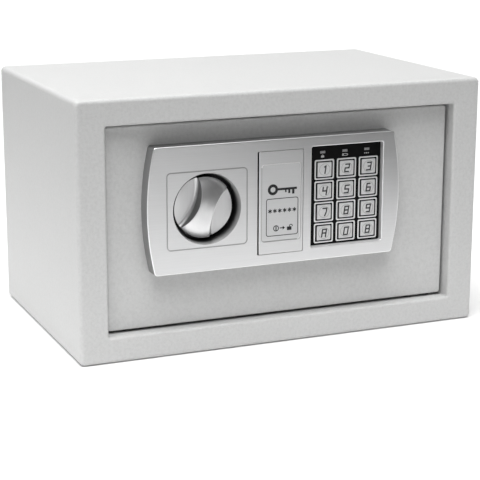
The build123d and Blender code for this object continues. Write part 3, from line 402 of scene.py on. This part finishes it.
def pile(name):
    m, nt, b = new_material(name)
    v = place(nt)
    tuft = cells(nt, v, 900.0, "F1")
    fleck = noise(nt, v, 2100.0, 2.0, 0.7)
    broad = noise(nt, v, 26.0, 3.0, 0.6)
    c = ramp(nt, fleck, [(0.25, (0.022, 0.022, 0.025)), (0.5, (0.045, 0.045, 0.05)), (0.72, (0.085, 0.085, 0.092))])
    shade = ramp(nt, broad, [(0.3, (0.78, 0.78, 0.78)), (0.7, (1, 1, 1))])
    nt.links.new(blended(nt, 1.0, c, shade, "MULTIPLY"), b.inputs["Base Color"])
    nt.links.new(span(nt, tuft, 0.86, 1.0), b.inputs["Roughness"])
    b.inputs["Specular IOR Level"].default_value = 0.15
    b.inputs["Sheen Weight"].default_value = 0.35
    b.inputs["Sheen Roughness"].default_value = 0.5
    n1 = bumped(nt, b, tuft, 0.8, 0.0005)
    bumped(nt, b, fleck, 0.5, 0.0003, n1)
    return m


def printed_ink(name, c1, c2):
    m, nt, b = new_material(name)
    f = noise(nt, place(nt), 3200.0, 2.0, 0.6)
    nt.links.new(ramp(nt, f, [(0.3, c1), (0.7, c2)]), b.inputs["Base Color"])
    nt.links.new(span(nt, f, 0.42, 0.62), b.inputs["Roughness"])
    b.inputs["Specular IOR Level"].default_value = 0.3
    bumped(nt, b, f, 0.2, 0.00002)
    return m


GREY = (0.600, 0.602, 0.598)
PAINT = powder_coat("powder_coat_grey", GREY)
DOOR_PAINT = powder_coat("powder_coat_door", tint(GREY, 0.985))
COVER_PAINT = powder_coat("powder_coat_cover", tint(GREY, 0.95))
# The fascia, knob, nameplate cover, key rims and key caps get painted shade and painted highlights from their tone
# functions.
SILVER = satin_metal("satin_silver_moulding", (0.630, 0.632, 0.635), tone=fascia_painted_light,
                     wall_metal=0.25)
KNOB_SILVER = satin_metal("satin_silver_handle", (0.630, 0.630, 0.633), (0.31, 0.40), 0.88, "Z", 0.08, tone=knob_painted_light)
PLATE_SILVER = satin_metal("satin_silver_nameplate", (0.640, 0.642, 0.645), tone=plate_painted_light)
FOIL = satin_metal("brushed_foil", (0.620, 0.622, 0.625), (0.34, 0.48), 0.8, "X", 0.35)
BEZEL = satin_metal("key_rim_silver", (0.82, 0.82, 0.82), (0.30, 0.42), 0.8, "X", 0.05, tone=cap_painted_shade)
KEYCAP = speckled("keycap_silver", (0.60, 0.60, 0.60), (0.72, 0.72, 0.72), 2600.0, (0.36, 0.48), 0.5, 0.2,
                  0.00004, tone=cap_painted_shade)
BLACK = speckled("keypad_black", (0.0022, 0.0022, 0.0024), (0.005, 0.005, 0.0053), 1600.0, (0.3, 0.42), 0.0, 0.06,
                 0.00003, 0.10)
LENS = frosted_lens("indicator_lens")
ZINC = zinc_plate("zinc_plate")
PIN = satin_metal("ground_steel", (0.56, 0.56, 0.56), (0.2, 0.32), 1.0, "Z", 0.3)
SILICONE = speckled("silicone_mat", (0.16, 0.16, 0.165), (0.23, 0.23, 0.235), 900.0, (0.55, 0.7))
BOARD = circuit_board("solder_mask_board")
PARTS_BLACK = speckled("moulded_components", (0.018, 0.018, 0.019), (0.05, 0.05, 0.052), 800.0, (0.35, 0.55))
BRASS = satin_metal("machined_brass", (0.72, 0.53, 0.24), (0.2, 0.32), 1.0, "Z", 0.25)
CHROME = satin_metal("polished_chrome", (0.80, 0.80, 0.80), (0.05, 0.12), 1.0, "X", 0.06)
COIL = winding("wound_coil")
JACKET = jacket("cell_jacket")
RED = speckled("red_moulding", (0.50, 0.018, 0.016), (0.64, 0.03, 0.026), 900.0, (0.25, 0.36), 0.0, 0.1)
LEAD = speckled("wire_insulation", (0.36, 0.014, 0.012), (0.50, 0.025, 0.02), 700.0, (0.4, 0.5))
CABLE = speckled("ribbon_cable", (0.42, 0.42, 0.43), (0.55, 0.55, 0.56), 900.0, (0.45, 0.55))
HOLDER = speckled("holder_plastic", (0.015, 0.015, 0.016), (0.032, 0.032, 0.034), 1000.0, (0.45, 0.6))
CARPET = pile("carpet_pile")
INK = printed_ink("printed_ink_dark", (0.010, 0.010, 0.011), (0.024, 0.024, 0.026))
LEGEND = printed_ink("printed_ink_grey", (0.030, 0.030, 0.032), (0.055, 0.055, 0.058))
# Grey line ink for the ring on each key and for the label's painted shadow line.
DOME_AND_SHADOW_LINE = printed_ink("dome_and_painted_shadow_line", (0.30, 0.30, 0.30), (0.38, 0.38, 0.38))
WHITE_INK = printed_ink("printed_ink_white", (0.42, 0.42, 0.42), (0.56, 0.56, 0.56))

BY_SLOT = {
    "grey_paint": PAINT, "carpet": CARPET, "zinc_steel": ZINC, "steel_pin": PIN, "silver_plastic": SILVER,
    "key_silver": KEYCAP, "black_plastic": BLACK, "clear_lens": LENS, "foil": FOIL, "silicone": SILICONE,
    "board_green": BOARD, "components": PARTS_BLACK, "brass": BRASS, "chrome": CHROME, "copper_coil": COIL,
    "cover_grey": COVER_PAINT, "battery_jacket": JACKET, "red_button": RED, "lead_red": LEAD,
}
BY_NODE = {
    "door_panel": DOOR_PAINT, "knob": KNOB_SILVER, "nameplate_cover": PLATE_SILVER, "key_bezels": BEZEL,
    # hinge_washers take the black moulding so the hinge gap reads black: painted shade.
    "keypad_cable": CABLE, "battery_holder": HOLDER, "hinge_washers": PARTS_BLACK,
}


def slot_of(node):
    for s in frame["record"].get("subparts", []):
        if node in (s.get("node"), s.get("name")):
            return s.get("material_slot") or s.get("slot")
    return None


for node, obj in NODES.items():
    slot = None
    for s in obj.material_slots:
        if s.material:
            slot = s.material.name.split(".")[0]
    chosen = BY_NODE.get(node) or BY_SLOT.get(slot) or BY_SLOT.get(slot_of(node)) or PAINT
    if not obj.material_slots:
        obj.data.materials.append(None)
    for s in obj.material_slots:
        s.link = "OBJECT"
        s.material = chosen


# ------------------------------------------------------------------ printed marks

def contour(f, x0, x1, z0, z1, h):
    """Closed outlines of f < 0 on a grid, inside on the left."""
    nx, nz = int(math.ceil((x1 - x0) / h)), int(math.ceil((z1 - z0) / h))
    xs, zs = x0 + h * np.arange(nx + 1), z0 + h * np.arange(nz + 1)
    v = f(*np.meshgrid(xs, zs, indexing="ij"))
    ins = v < 0
    table = {1: "BL", 2: "RB", 3: "RL", 4: "TR", 5: "BLTR", 6: "TB", 7: "TL", 8: "LT", 9: "BT", 10: "RBLT",
             11: "RT", 12: "LR", 13: "BR", 14: "LB"}
    nxt = {}
    code = (ins[:-1, :-1] * 1 + ins[1:, :-1] * 2 + ins[1:, 1:] * 4 + ins[:-1, 1:] * 8).astype(int)
    for i, j in zip(*np.nonzero((code > 0) & (code < 15))):
        edge = {"B": ("h", i, j), "T": ("h", i, j + 1), "L": ("v", i, j), "R": ("v", i + 1, j)}
        word = table[int(code[i, j])]
        for k in range(0, len(word), 2):
            nxt[edge[word[k]]] = edge[word[k + 1]]

    def point(e):
        kind, i, j = e
        i2, j2 = (i + 1, j) if kind == "h" else (i, j + 1)
        a, b = v[i, j], v[i2, j2]
        t = a / (a - b)
        return (xs[i] + (xs[i2] - xs[i]) * t, zs[j] + (zs[j2] - zs[j]) * t)

    loops = []
    while nxt:
        start = next(iter(nxt))
        loop, e = [], start
        while e in nxt:
            loop.append(point(e))
            e = nxt.pop(e)
        loops.append(thinned(loop, h * 0.06))
    return loops


def thinned(loop, tol):
    """Drops the points that lie on a straight run."""
    pts = np.array(loop)
    keep = np.zeros(len(pts), bool)
    far = int(np.argmax(((pts - pts[0]) ** 2).sum(1)))
    stack = [(0, far), (far, len(pts))]
    keep[0] = keep[far] = True
    ring = np.vstack([pts, pts[:1]])
    while stack:
        a, b = stack.pop()
        if b - a < 2:
            continue
        p, q = ring[a], ring[b]
        d = q - p
        n = math.hypot(*d) or 1e-12
        off = np.abs((ring[a + 1:b, 0] - p[0]) * d[1] - (ring[a + 1:b, 1] - p[1]) * d[0]) / n
        k = int(np.argmax(off))
        if off[k] > tol:
            keep[a + 1 + k] = True
            stack += [(a, a + 1 + k), (a + 1 + k, b)]
    return [tuple(x) for x in pts[keep]]


def marks(name, shape, box_mm, y_face, body, material, h=0.055, proud=0.03, sunk=0.02):
    """A printed mark: shape(x, z) is below zero inside it, all in mm, on the plane y_face (m) facing -Y."""
    curve = bpy.data.curves.new(name, "CURVE")
    curve.dimensions = "2D"
    curve.fill_mode = "BOTH"
    for loop in contour(shape, *box_mm, h):
        if len(loop) < 3:
            continue
        s = curve.splines.new("POLY")
        s.points.add(len(loop) - 1)
        for p, (x, z) in zip(s.points, loop):
            p.co = (x * MM, z * MM, 0, 1)
        s.use_cyclic_u = True
    curve.extrude = (proud + sunk) / 2 * MM
    temp = bpy.data.objects.new(name + "_outline", curve)
    SCENE.collection.objects.link(temp)
    bpy.context.view_layer.update()
    mesh = bpy.data.meshes.new_from_object(temp.evaluated_get(bpy.context.evaluated_depsgraph_get()))
    bpy.data.objects.remove(temp)
    bpy.data.curves.remove(curve)
    mesh.name = name
    # local x, y, z to world x, z, -y
    mesh.transform(Matrix(((1, 0, 0, 0), (0, 0, -1, y_face - (proud - sunk) / 2 * MM), (0, 1, 0, 0), (0, 0, 0, 1))))
    bm = bmesh.new()
    bm.from_mesh(mesh)
    bmesh.ops.remove_doubles(bm, verts=bm.verts, dist=2e-7)
    bmesh.ops.recalc_face_normals(bm, faces=bm.faces)
    bm.to_mesh(mesh)
    bm.free()
    mesh.materials.clear()
    mesh.materials.append(material)
    o = bpy.data.objects.new(name, mesh)
    SCENE.collection.objects.link(o)
    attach(o, body)
    return o


def bar(x, z, a, b, r):
    """Distance to a rounded stroke from a to b of half width r."""
    ax, az = a
    bx, bz = b
    dx, dz = bx - ax, bz - az
    t = np.clip(((x - ax) * dx + (z - az) * dz) / max(dx * dx + dz * dz, 1e-12), 0, 1)
    return np.hypot(x - ax - t * dx, z - az - t * dz) - r


def ring(x, z, c, r, w):
    return np.abs(np.hypot(x - c[0], z - c[1]) - r) - w


def slab(x, z, c, hx, hz, r=0.0):
    qx, qz = np.abs(x - c[0]) - hx + r, np.abs(z - c[1]) - hz + r
    return np.hypot(np.maximum(qx, 0), np.maximum(qz, 0)) + np.minimum(np.maximum(qx, qz), 0) - r


def any_of(*d):
    out = d[0]
    for k in d[1:]:
        out = np.minimum(out, k)
    return out


# slanted, seven-stroke style numerals
TL, TR, ML, MR, BL, BR = (0, 2), (1, 2), (0, 1), (1, 1), (0, 0), (1, 0)
STROKES = {
    "1": [((0.62, 2), (0.62, 0)), ((0.30, 1.72), (0.62, 2))],
    "2": [(TL, TR), (TR, MR), (MR, ML), (ML, BL), (BL, BR)],
    "3": [(TL, TR), (TR, MR), ((0.30, 1), MR), (MR, BR), (BL, BR)],
    "4": [(TL, ML), (ML, MR), (TR, MR), (MR, BR)],
    "5": [(TL, TR), (TL, ML), (ML, MR), (MR, BR), (BL, BR)],
    "6": [((0.75, 2), TL), (TL, ML), (ML, MR), (ML, BL), (MR, BR), (BL, BR)],
    "7": [(TL, TR), (TR, MR), (MR, (0.72, 0))],
    "8": [(TL, TR), (TL, ML), (TR, MR), (ML, MR), (ML, BL), (MR, BR), (BL, BR)],
    "9": [(TL, TR), (TL, ML), (TR, MR), (ML, MR), (MR, BR), ((0.2, 0), BR)],
    "0": [(TL, TR), (TL, BL), (TR, BR), (BL, BR)],
    "a": [(TL, TR), (TL, BL), (TR, BR), (ML, MR)],
    "b": [(TL, (0.82, 2)), ((0.82, 2), (1, 1.8)), ((1, 1.8), (0.92, 1)), (TL, BL), (ML, MR), (MR, BR), (BL, BR)],
}


def numeral(ch, cx, cz, w=3.15, h=5.6, r=0.54, slant=0.15):
    strokes = STROKES[ch]

    def shape(x, z):
        def at(p):
            pz = (p[1] - 1) * h / 2
            return (cx + (p[0] - 0.5) * w + pz * slant, cz + pz)
        return any_of(*[bar(x, z, at(a), at(b), r) for a, b in strokes])
    return shape


for ch in "1234567890ab":
    node = "key_" + ch
    lo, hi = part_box(node)
    cx, cz = (lo.x + hi.x) / 2 / MM, (lo.z + hi.z) / 2 / MM
    marks("legend_" + ch, numeral(ch, cx + 0.25, cz - 0.1), (cx - 4, cx + 4.5, cz - 4.2, cz + 4.2), lo.y,
          node, LEGEND, h=0.07)
    marks("dome_ring_" + ch, lambda x, z, c=(cx, cz): ring(x, z, c, 4.25, 0.16), (cx - 5, cx + 5, cz - 5, cz + 5),
          lo.y, node, DOME_AND_SHADOW_LINE, h=0.09, proud=0.02, sunk=0.02)

# small white pictograms under the three indicator windows
lo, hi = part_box("led_lenses")
lens_z, lens_y = (lo.z + hi.z) / 2 / MM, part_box("keypad_plate")[0].y
lens_x = [lo.x / MM + 2.05, (lo.x + hi.x) / 2 / MM, hi.x / MM - 2.05]
PIC_Z = lens_z - 3.05


def pic_padlock(x, z):
    c = (lens_x[0], PIC_Z)
    return any_of(slab(x, z, (c[0], c[1] - 0.35), 1.25, 0.6, 0.2),
                  np.maximum(ring(x, z, (c[0], c[1] + 0.25), 0.68, 0.2), -(z - c[1] - 0.15)))


def pic_cell(x, z):
    c = (lens_x[1], PIC_Z)
    case = np.maximum(slab(x, z, c, 2.1, 0.85, 0.2), -slab(x, z, c, 1.8, 0.55, 0.1))
    return any_of(case, slab(x, z, (c[0] + 2.35, c[1]), 0.3, 0.42, 0.1), slab(x, z, (c[0] - 1.25, c[1]), 0.32, 0.42))


def pic_steps(x, z):
    c = (lens_x[2], PIC_Z)
    return any_of(*[np.hypot(x - c[0] - k * 1.5, z - c[1]) - 0.45 for k in (-1, 0, 1)])


for nm, f, cx in (("pictogram_lock", pic_padlock, lens_x[0]), ("pictogram_cell", pic_cell, lens_x[1]),
                  ("pictogram_steps", pic_steps, lens_x[2])):
    marks(nm, f, (cx - 3.2, cx + 3.2, PIC_Z - 1.8, PIC_Z + 1.9), lens_y, "door", WHITE_INK, h=0.06)

# nameplate print
label_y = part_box("nameplate_label")[0].y


def pic_key(x, z):
    c = (-12.9, 117.3)
    bow = ring(x, z, c, 3.0, 1.05)
    shaft = slab(x, z, (-2.0, 117.3), 8.3, 0.85, 0.3)
    bits = any_of(slab(x, z, (3.4, 115.3), 0.95, 2.1, 0.2), slab(x, z, (0.2, 115.6), 0.8, 1.8, 0.2),
                  slab(x, z, (-2.6, 116.0), 0.6, 1.3, 0.2), slab(x, z, (5.6, 117.3), 0.75, 0.85, 0.3))
    return any_of(bow, shaft, bits)


def outline(x, z):
    c = (-5.35, 96.65)
    return np.maximum(slab(x, z, c, 12.9, 14.1, 1.9), -slab(x, z, c, 12.35, 13.55, 1.4))


def code_row(x, z):
    out = None
    for k in range(6):
        cx, cz = -15.1 + k * 3.9, 101.4
        d = any_of(*[bar(x, z, (cx - 1.3 * math.cos(a), cz - 1.3 * math.sin(a)),
                         (cx + 1.3 * math.cos(a), cz + 1.3 * math.sin(a)), 0.36)
                     for a in (math.pi / 2, math.pi / 6, -math.pi / 6)])
        out = d if out is None else np.minimum(out, d)
    return out


def turn_row(x, z):
    cz = 88.3
    handle = any_of(ring(x, z, (-10.2, cz), 1.95, 0.33), bar(x, z, (-10.2, cz - 1.2), (-10.2, cz + 1.2), 0.42))
    ang = np.arctan2(z - cz, x + 5.2)
    arrow = any_of(bar(x, z, (-6.9, cz), (-4.4, cz), 0.36),
                   np.maximum(np.maximum(x + 3.0, -(x + 4.9)), np.abs(z - cz) - (-3.0 - x) * 0.75))
    lock = any_of(slab(x, z, (0.4, cz - 0.8), 1.85, 1.35, 0.3),
                  np.maximum(ring(x, z, (0.4 + 1.35, cz + 0.9), 1.15, 0.3), -(z - cz - 0.55)))
    return any_of(handle, arrow, lock)


lo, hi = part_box("nameplate_label")
label_rect = ((lo.x + hi.x) / 2 / MM, (lo.z + hi.z) / 2 / MM, (hi.x - lo.x) / 2 / MM, (hi.z - lo.z) / 2 / MM)


def label_frame(x, z, inset):
    cx, cz, hx, hz = label_rect
    return np.maximum(slab(x, z, (cx, cz), hx - 0.05, hz - 0.05, 2.1),
                      -slab(x, z, (cx, cz), hx - inset, hz - inset, 1.6))


def label_corner(x, z):
    cx, cz, hx, hz = label_rect
    return np.minimum(cx + hx - 2.6 - x, cz + hz - 2.6 - z)


# painted highlight as a raised bright strip along the label's top and right, painted shadow as a dark line along its
# left and bottom
marks("label_edge_highlight", lambda x, z: np.maximum(label_frame(x, z, 0.75), label_corner(x, z)),
      (label_rect[0] - label_rect[2] - 0.5, label_rect[0] + label_rect[2] + 0.5, label_rect[1] - label_rect[3] - 0.5, label_rect[1] + label_rect[3] + 0.5),
      label_y, "nameplate", BEZEL, h=0.1, proud=0.15)
marks("label_line", lambda x, z: np.maximum(label_frame(x, z, 0.5), -label_corner(x, z)),
      (label_rect[0] - label_rect[2] - 0.5, label_rect[0] + label_rect[2] + 0.5, label_rect[1] - label_rect[3] - 0.5, label_rect[1] + label_rect[3] + 0.5),
      label_y, "nameplate", DOME_AND_SHADOW_LINE, h=0.1)

for nm, f, bx in (("print_key", pic_key, (-18, 8, 111.5, 122.5)), ("print_outline", outline, (-19, 8.5, 81.8, 111.5)),
                  ("print_code", code_row, (-18, 8, 98.5, 104.5)), ("print_turn", turn_row, (-14, 4, 85, 92))):
    marks(nm, f, bx, label_y, "nameplate", INK, h=0.07)


# ------------------------------------------------------------------ carpet mat

def carpet_mat():
    lo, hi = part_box("floor_mat")
    nx, ny = 190, 100
    rng = np.random.default_rng(7)
    xs, ys = np.linspace(lo.x, hi.x, nx + 1), np.linspace(lo.y, hi.y, ny + 1)
    gx, gy = np.meshgrid(xs, ys, indexing="ij")
    tuft = rng.random(gx.shape)
    for _ in range(1):
        tuft = (tuft + np.roll(tuft, 1, 0) + np.roll(tuft, 1, 1)) / 3
    wave = 0.5 + 0.25 * np.sin(gx * 41 + 1.3) * np.cos(gy * 57) + 0.25 * np.sin(gx * 13 - gy * 23)
    edge = np.minimum(np.minimum(gx - lo.x, hi.x - gx), np.minimum(gy - lo.y, hi.y - gy))
    # two holes over the floor's anchor holes
    keep = np.ones((nx, ny), bool)
    mx, my = (gx[:-1, :-1] + gx[1:, 1:]) / 2, (gy[:-1, :-1] + gy[1:, 1:]) / 2
    for hx, hy in ((-0.060, 0.015), (0.060, 0.015)):
        out = np.hypot(mx - hx, my - hy) < 0.009
        keep &= ~out
        touch = np.zeros(gx.shape, int)
        for a, b in ((0, 0), (1, 0), (0, 1), (1, 1)):
            touch[a:nx + a, b:ny + b] += out
        rim = (touch > 0) & (touch < 4)
        r = np.maximum(np.hypot(gx - hx, gy - hy), 1e-6)
        gx = np.where(rim, hx + (gx - hx) / r * 0.009, gx)
        gy = np.where(rim, hy + (gy - hy) / r * 0.009, gy)
        edge = np.minimum(edge, np.maximum(np.hypot(gx - hx, gy - hy) - 0.009, 0))
    crown = np.clip(edge / 0.0022, 0, 1) ** 0.5
    top = lo.z + 0.0009 + (hi.z - lo.z - 0.0009) * crown * (0.72 + 0.22 * tuft + 0.06 * wave)
    bm = bmesh.new()
    up, down = {}, {}
    for i in range(nx):
        for j in range(ny):
            if not keep[i, j]:
                continue
            loop = ((i, j), (i + 1, j), (i + 1, j + 1), (i, j + 1))
            for q in loop:
                if q not in up:
                    up[q] = bm.verts.new((gx[q], gy[q], top[q]))
                    down[q] = bm.verts.new((gx[q], gy[q], lo.z))
            bm.faces.new([up[q] for q in loop])
            bm.faces.new([down[q] for q in reversed(loop)])
            for (a, b), (ni, nj) in zip(((loop[0], loop[1]), (loop[1], loop[2]), (loop[2], loop[3]), (loop[3], loop[0])),
                                        ((i, j - 1), (i + 1, j), (i, j + 1), (i - 1, j))):
                if 0 <= ni < nx and 0 <= nj < ny and keep[ni, nj]:
                    continue
                for q in (a, b):
                    if q not in up:
                        up[q] = bm.verts.new((gx[q], gy[q], top[q]))
                        down[q] = bm.verts.new((gx[q], gy[q], lo.z))
                bm.faces.new((up[b], up[a], down[a], down[b]))
    bmesh.ops.recalc_face_normals(bm, faces=bm.faces)
    mesh = bpy.data.meshes.new("carpet_mat")
    bm.to_mesh(mesh)
    bm.free()
    for p in mesh.polygons:
        p.use_smooth = p.normal.z > 0.3
    mesh.materials.append(CARPET)
    o = bpy.data.objects.new("carpet_mat", mesh)
    SCENE.collection.objects.link(o)
    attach(o, "safe_body")
    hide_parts("floor_mat")
    return o


carpet_mat()


# ------------------------------------------------------------------ studio

def studio_floor():
    m, nt, b = new_material("studio_floor")
    f = noise(nt, place(nt), 2.0, 2.0)
    nt.links.new(ramp(nt, f, [(0.3, (0.90, 0.90, 0.90)), (0.7, (0.92, 0.92, 0.92))]), b.inputs["Base Color"])
    nt.links.new(span(nt, f, 0.9, 1.0), b.inputs["Roughness"])
    b.inputs["Specular IOR Level"].default_value = 0.0
    bm = bmesh.new()
    bm.faces.new([bm.verts.new(p) for p in ((-0.5, -0.55, 0), (5.5, -0.55, 0), (5.5, 8.5, 0), (-0.5, 8.5, 0))])
    mesh = bpy.data.meshes.new("studio_floor")
    bm.to_mesh(mesh)
    bm.free()
    mesh.materials.append(m)
    o = bpy.data.objects.new("studio_floor", mesh)
    SCENE.collection.objects.link(o)
    o.location.z = -0.0002


studio_floor()


def studio_world():
    w = bpy.data.worlds.new("studio")
    SCENE.world = w
    w.use_nodes = True
    nt = w.node_tree
    nt.nodes.clear()
    out = nt.nodes.new("ShaderNodeOutputWorld")
    bg = nt.nodes.new("ShaderNodeBackground")
    seen = nt.nodes.new("ShaderNodeBackground")
    pick = nt.nodes.new("ShaderNodeMixShader")
    path = nt.nodes.new("ShaderNodeLightPath")
    tc = nt.nodes.new("ShaderNodeTexCoord")
    sep = nt.nodes.new("ShaderNodeSeparateXYZ")
    nt.links.new(tc.outputs["Generated"], sep.inputs[0])
    c = ramp(nt, sep.outputs["Z"], [(0.0, (0.012, 0.012, 0.012)), (0.12, (0.012, 0.012, 0.012)),
                                    (0.5, (0.02, 0.02, 0.02)), (1.0, (0.03, 0.03, 0.03))])
    nt.links.new(c, bg.inputs["Color"])
    bg.inputs["Strength"].default_value = 1.0
    seen.inputs["Color"].default_value = (1, 1, 1, 1)
    seen.inputs["Strength"].default_value = 1.0
    nt.links.new(path.outputs["Is Camera Ray"], pick.inputs[0])
    nt.links.new(bg.outputs[0], pick.inputs[1])
    nt.links.new(seen.outputs[0], pick.inputs[2])
    nt.links.new(pick.outputs[0], out.inputs["Surface"])


studio_world()


def soft_light(name, where, target, size, power, colour=(1, 1, 1)):
    d = bpy.data.lights.new(name, "AREA")
    d.shape = "RECTANGLE"
    d.size, d.size_y = size
    d.energy = power
    d.color = colour
    o = bpy.data.objects.new(name, d)
    SCENE.collection.objects.link(o)
    o.location = where
    o.rotation_euler = (Vector(target) - Vector(where)).to_track_quat("-Z", "Y").to_euler()
    o.visible_camera = False
    return o


def sun(name, direction, strength, angle_deg):
    d = bpy.data.lights.new(name, "SUN")
    d.energy = strength
    d.angle = math.radians(angle_deg)
    o = bpy.data.objects.new(name, d)
    SCENE.collection.objects.link(o)
    o.rotation_euler = Vector(direction).to_track_quat("-Z", "Y").to_euler()
    return o


# wide box overhead and in front, wash over the floor behind, low strips from the left and front, soft top light
soft_light("overhead_box", (-0.25, -0.33, 1.45), (-0.08, -0.10, 0.0), (1.15, 0.95), 9.9)
soft_light("back_wash", (0.2, 4.2, 3.2), (0.2, 4.4, 0.0), (9.0, 6.4), 175.0)
soft_light("left_low", (-0.9, -0.1, 0.06), (-0.16, 0.0, 0.03), (0.5, 0.1), 0.90)
soft_light("left_near", (-0.62, 0.0, 0.55), (-0.36, 0.0, 0.0), (0.3, 0.5), 0.90)
soft_light("front_low", (-0.1, -0.75, 0.03), (-0.05, -0.1, 0.06), (0.7, 0.1), 0.34)
sun("top_soft", (0.0, 0.02, -1.0), 0.66, 40.0)
sun("front_soft", (0.15, 0.45, -1.0), 1.80, 50.0)


def camera():
    yaw, pitch, roll = 0.4028238, 0.2426312, 0.0021439
    fwd = Vector((math.sin(yaw) * math.cos(pitch), math.cos(yaw) * math.cos(pitch), -math.sin(pitch)))
    right = Vector((math.cos(yaw), -math.sin(yaw), 0.0))
    up = right.cross(fwd)
    r2 = math.cos(roll) * right + math.sin(roll) * up
    u2 = math.cos(roll) * up - math.sin(roll) * right
    rot = Matrix((r2, u2, -fwd)).transposed()
    cam = bpy.data.cameras.new("camera")
    cam.sensor_width = 36.0
    cam.lens = 36.0 * 1504.982 / 480.0
    cam.clip_start, cam.clip_end = 0.02, 60.0
    o = bpy.data.objects.new("camera", cam)
    SCENE.collection.objects.link(o)
    o.matrix_world = Matrix.Translation((-0.453676, -1.074640, 0.344209)) @ rot.to_4x4()
    SCENE.camera = o


camera()
SCENE.view_settings.view_transform = "Standard"
SCENE.view_settings.look = "None"
SCENE.view_settings.exposure = 0.0
SCENE.view_settings.gamma = 1.0
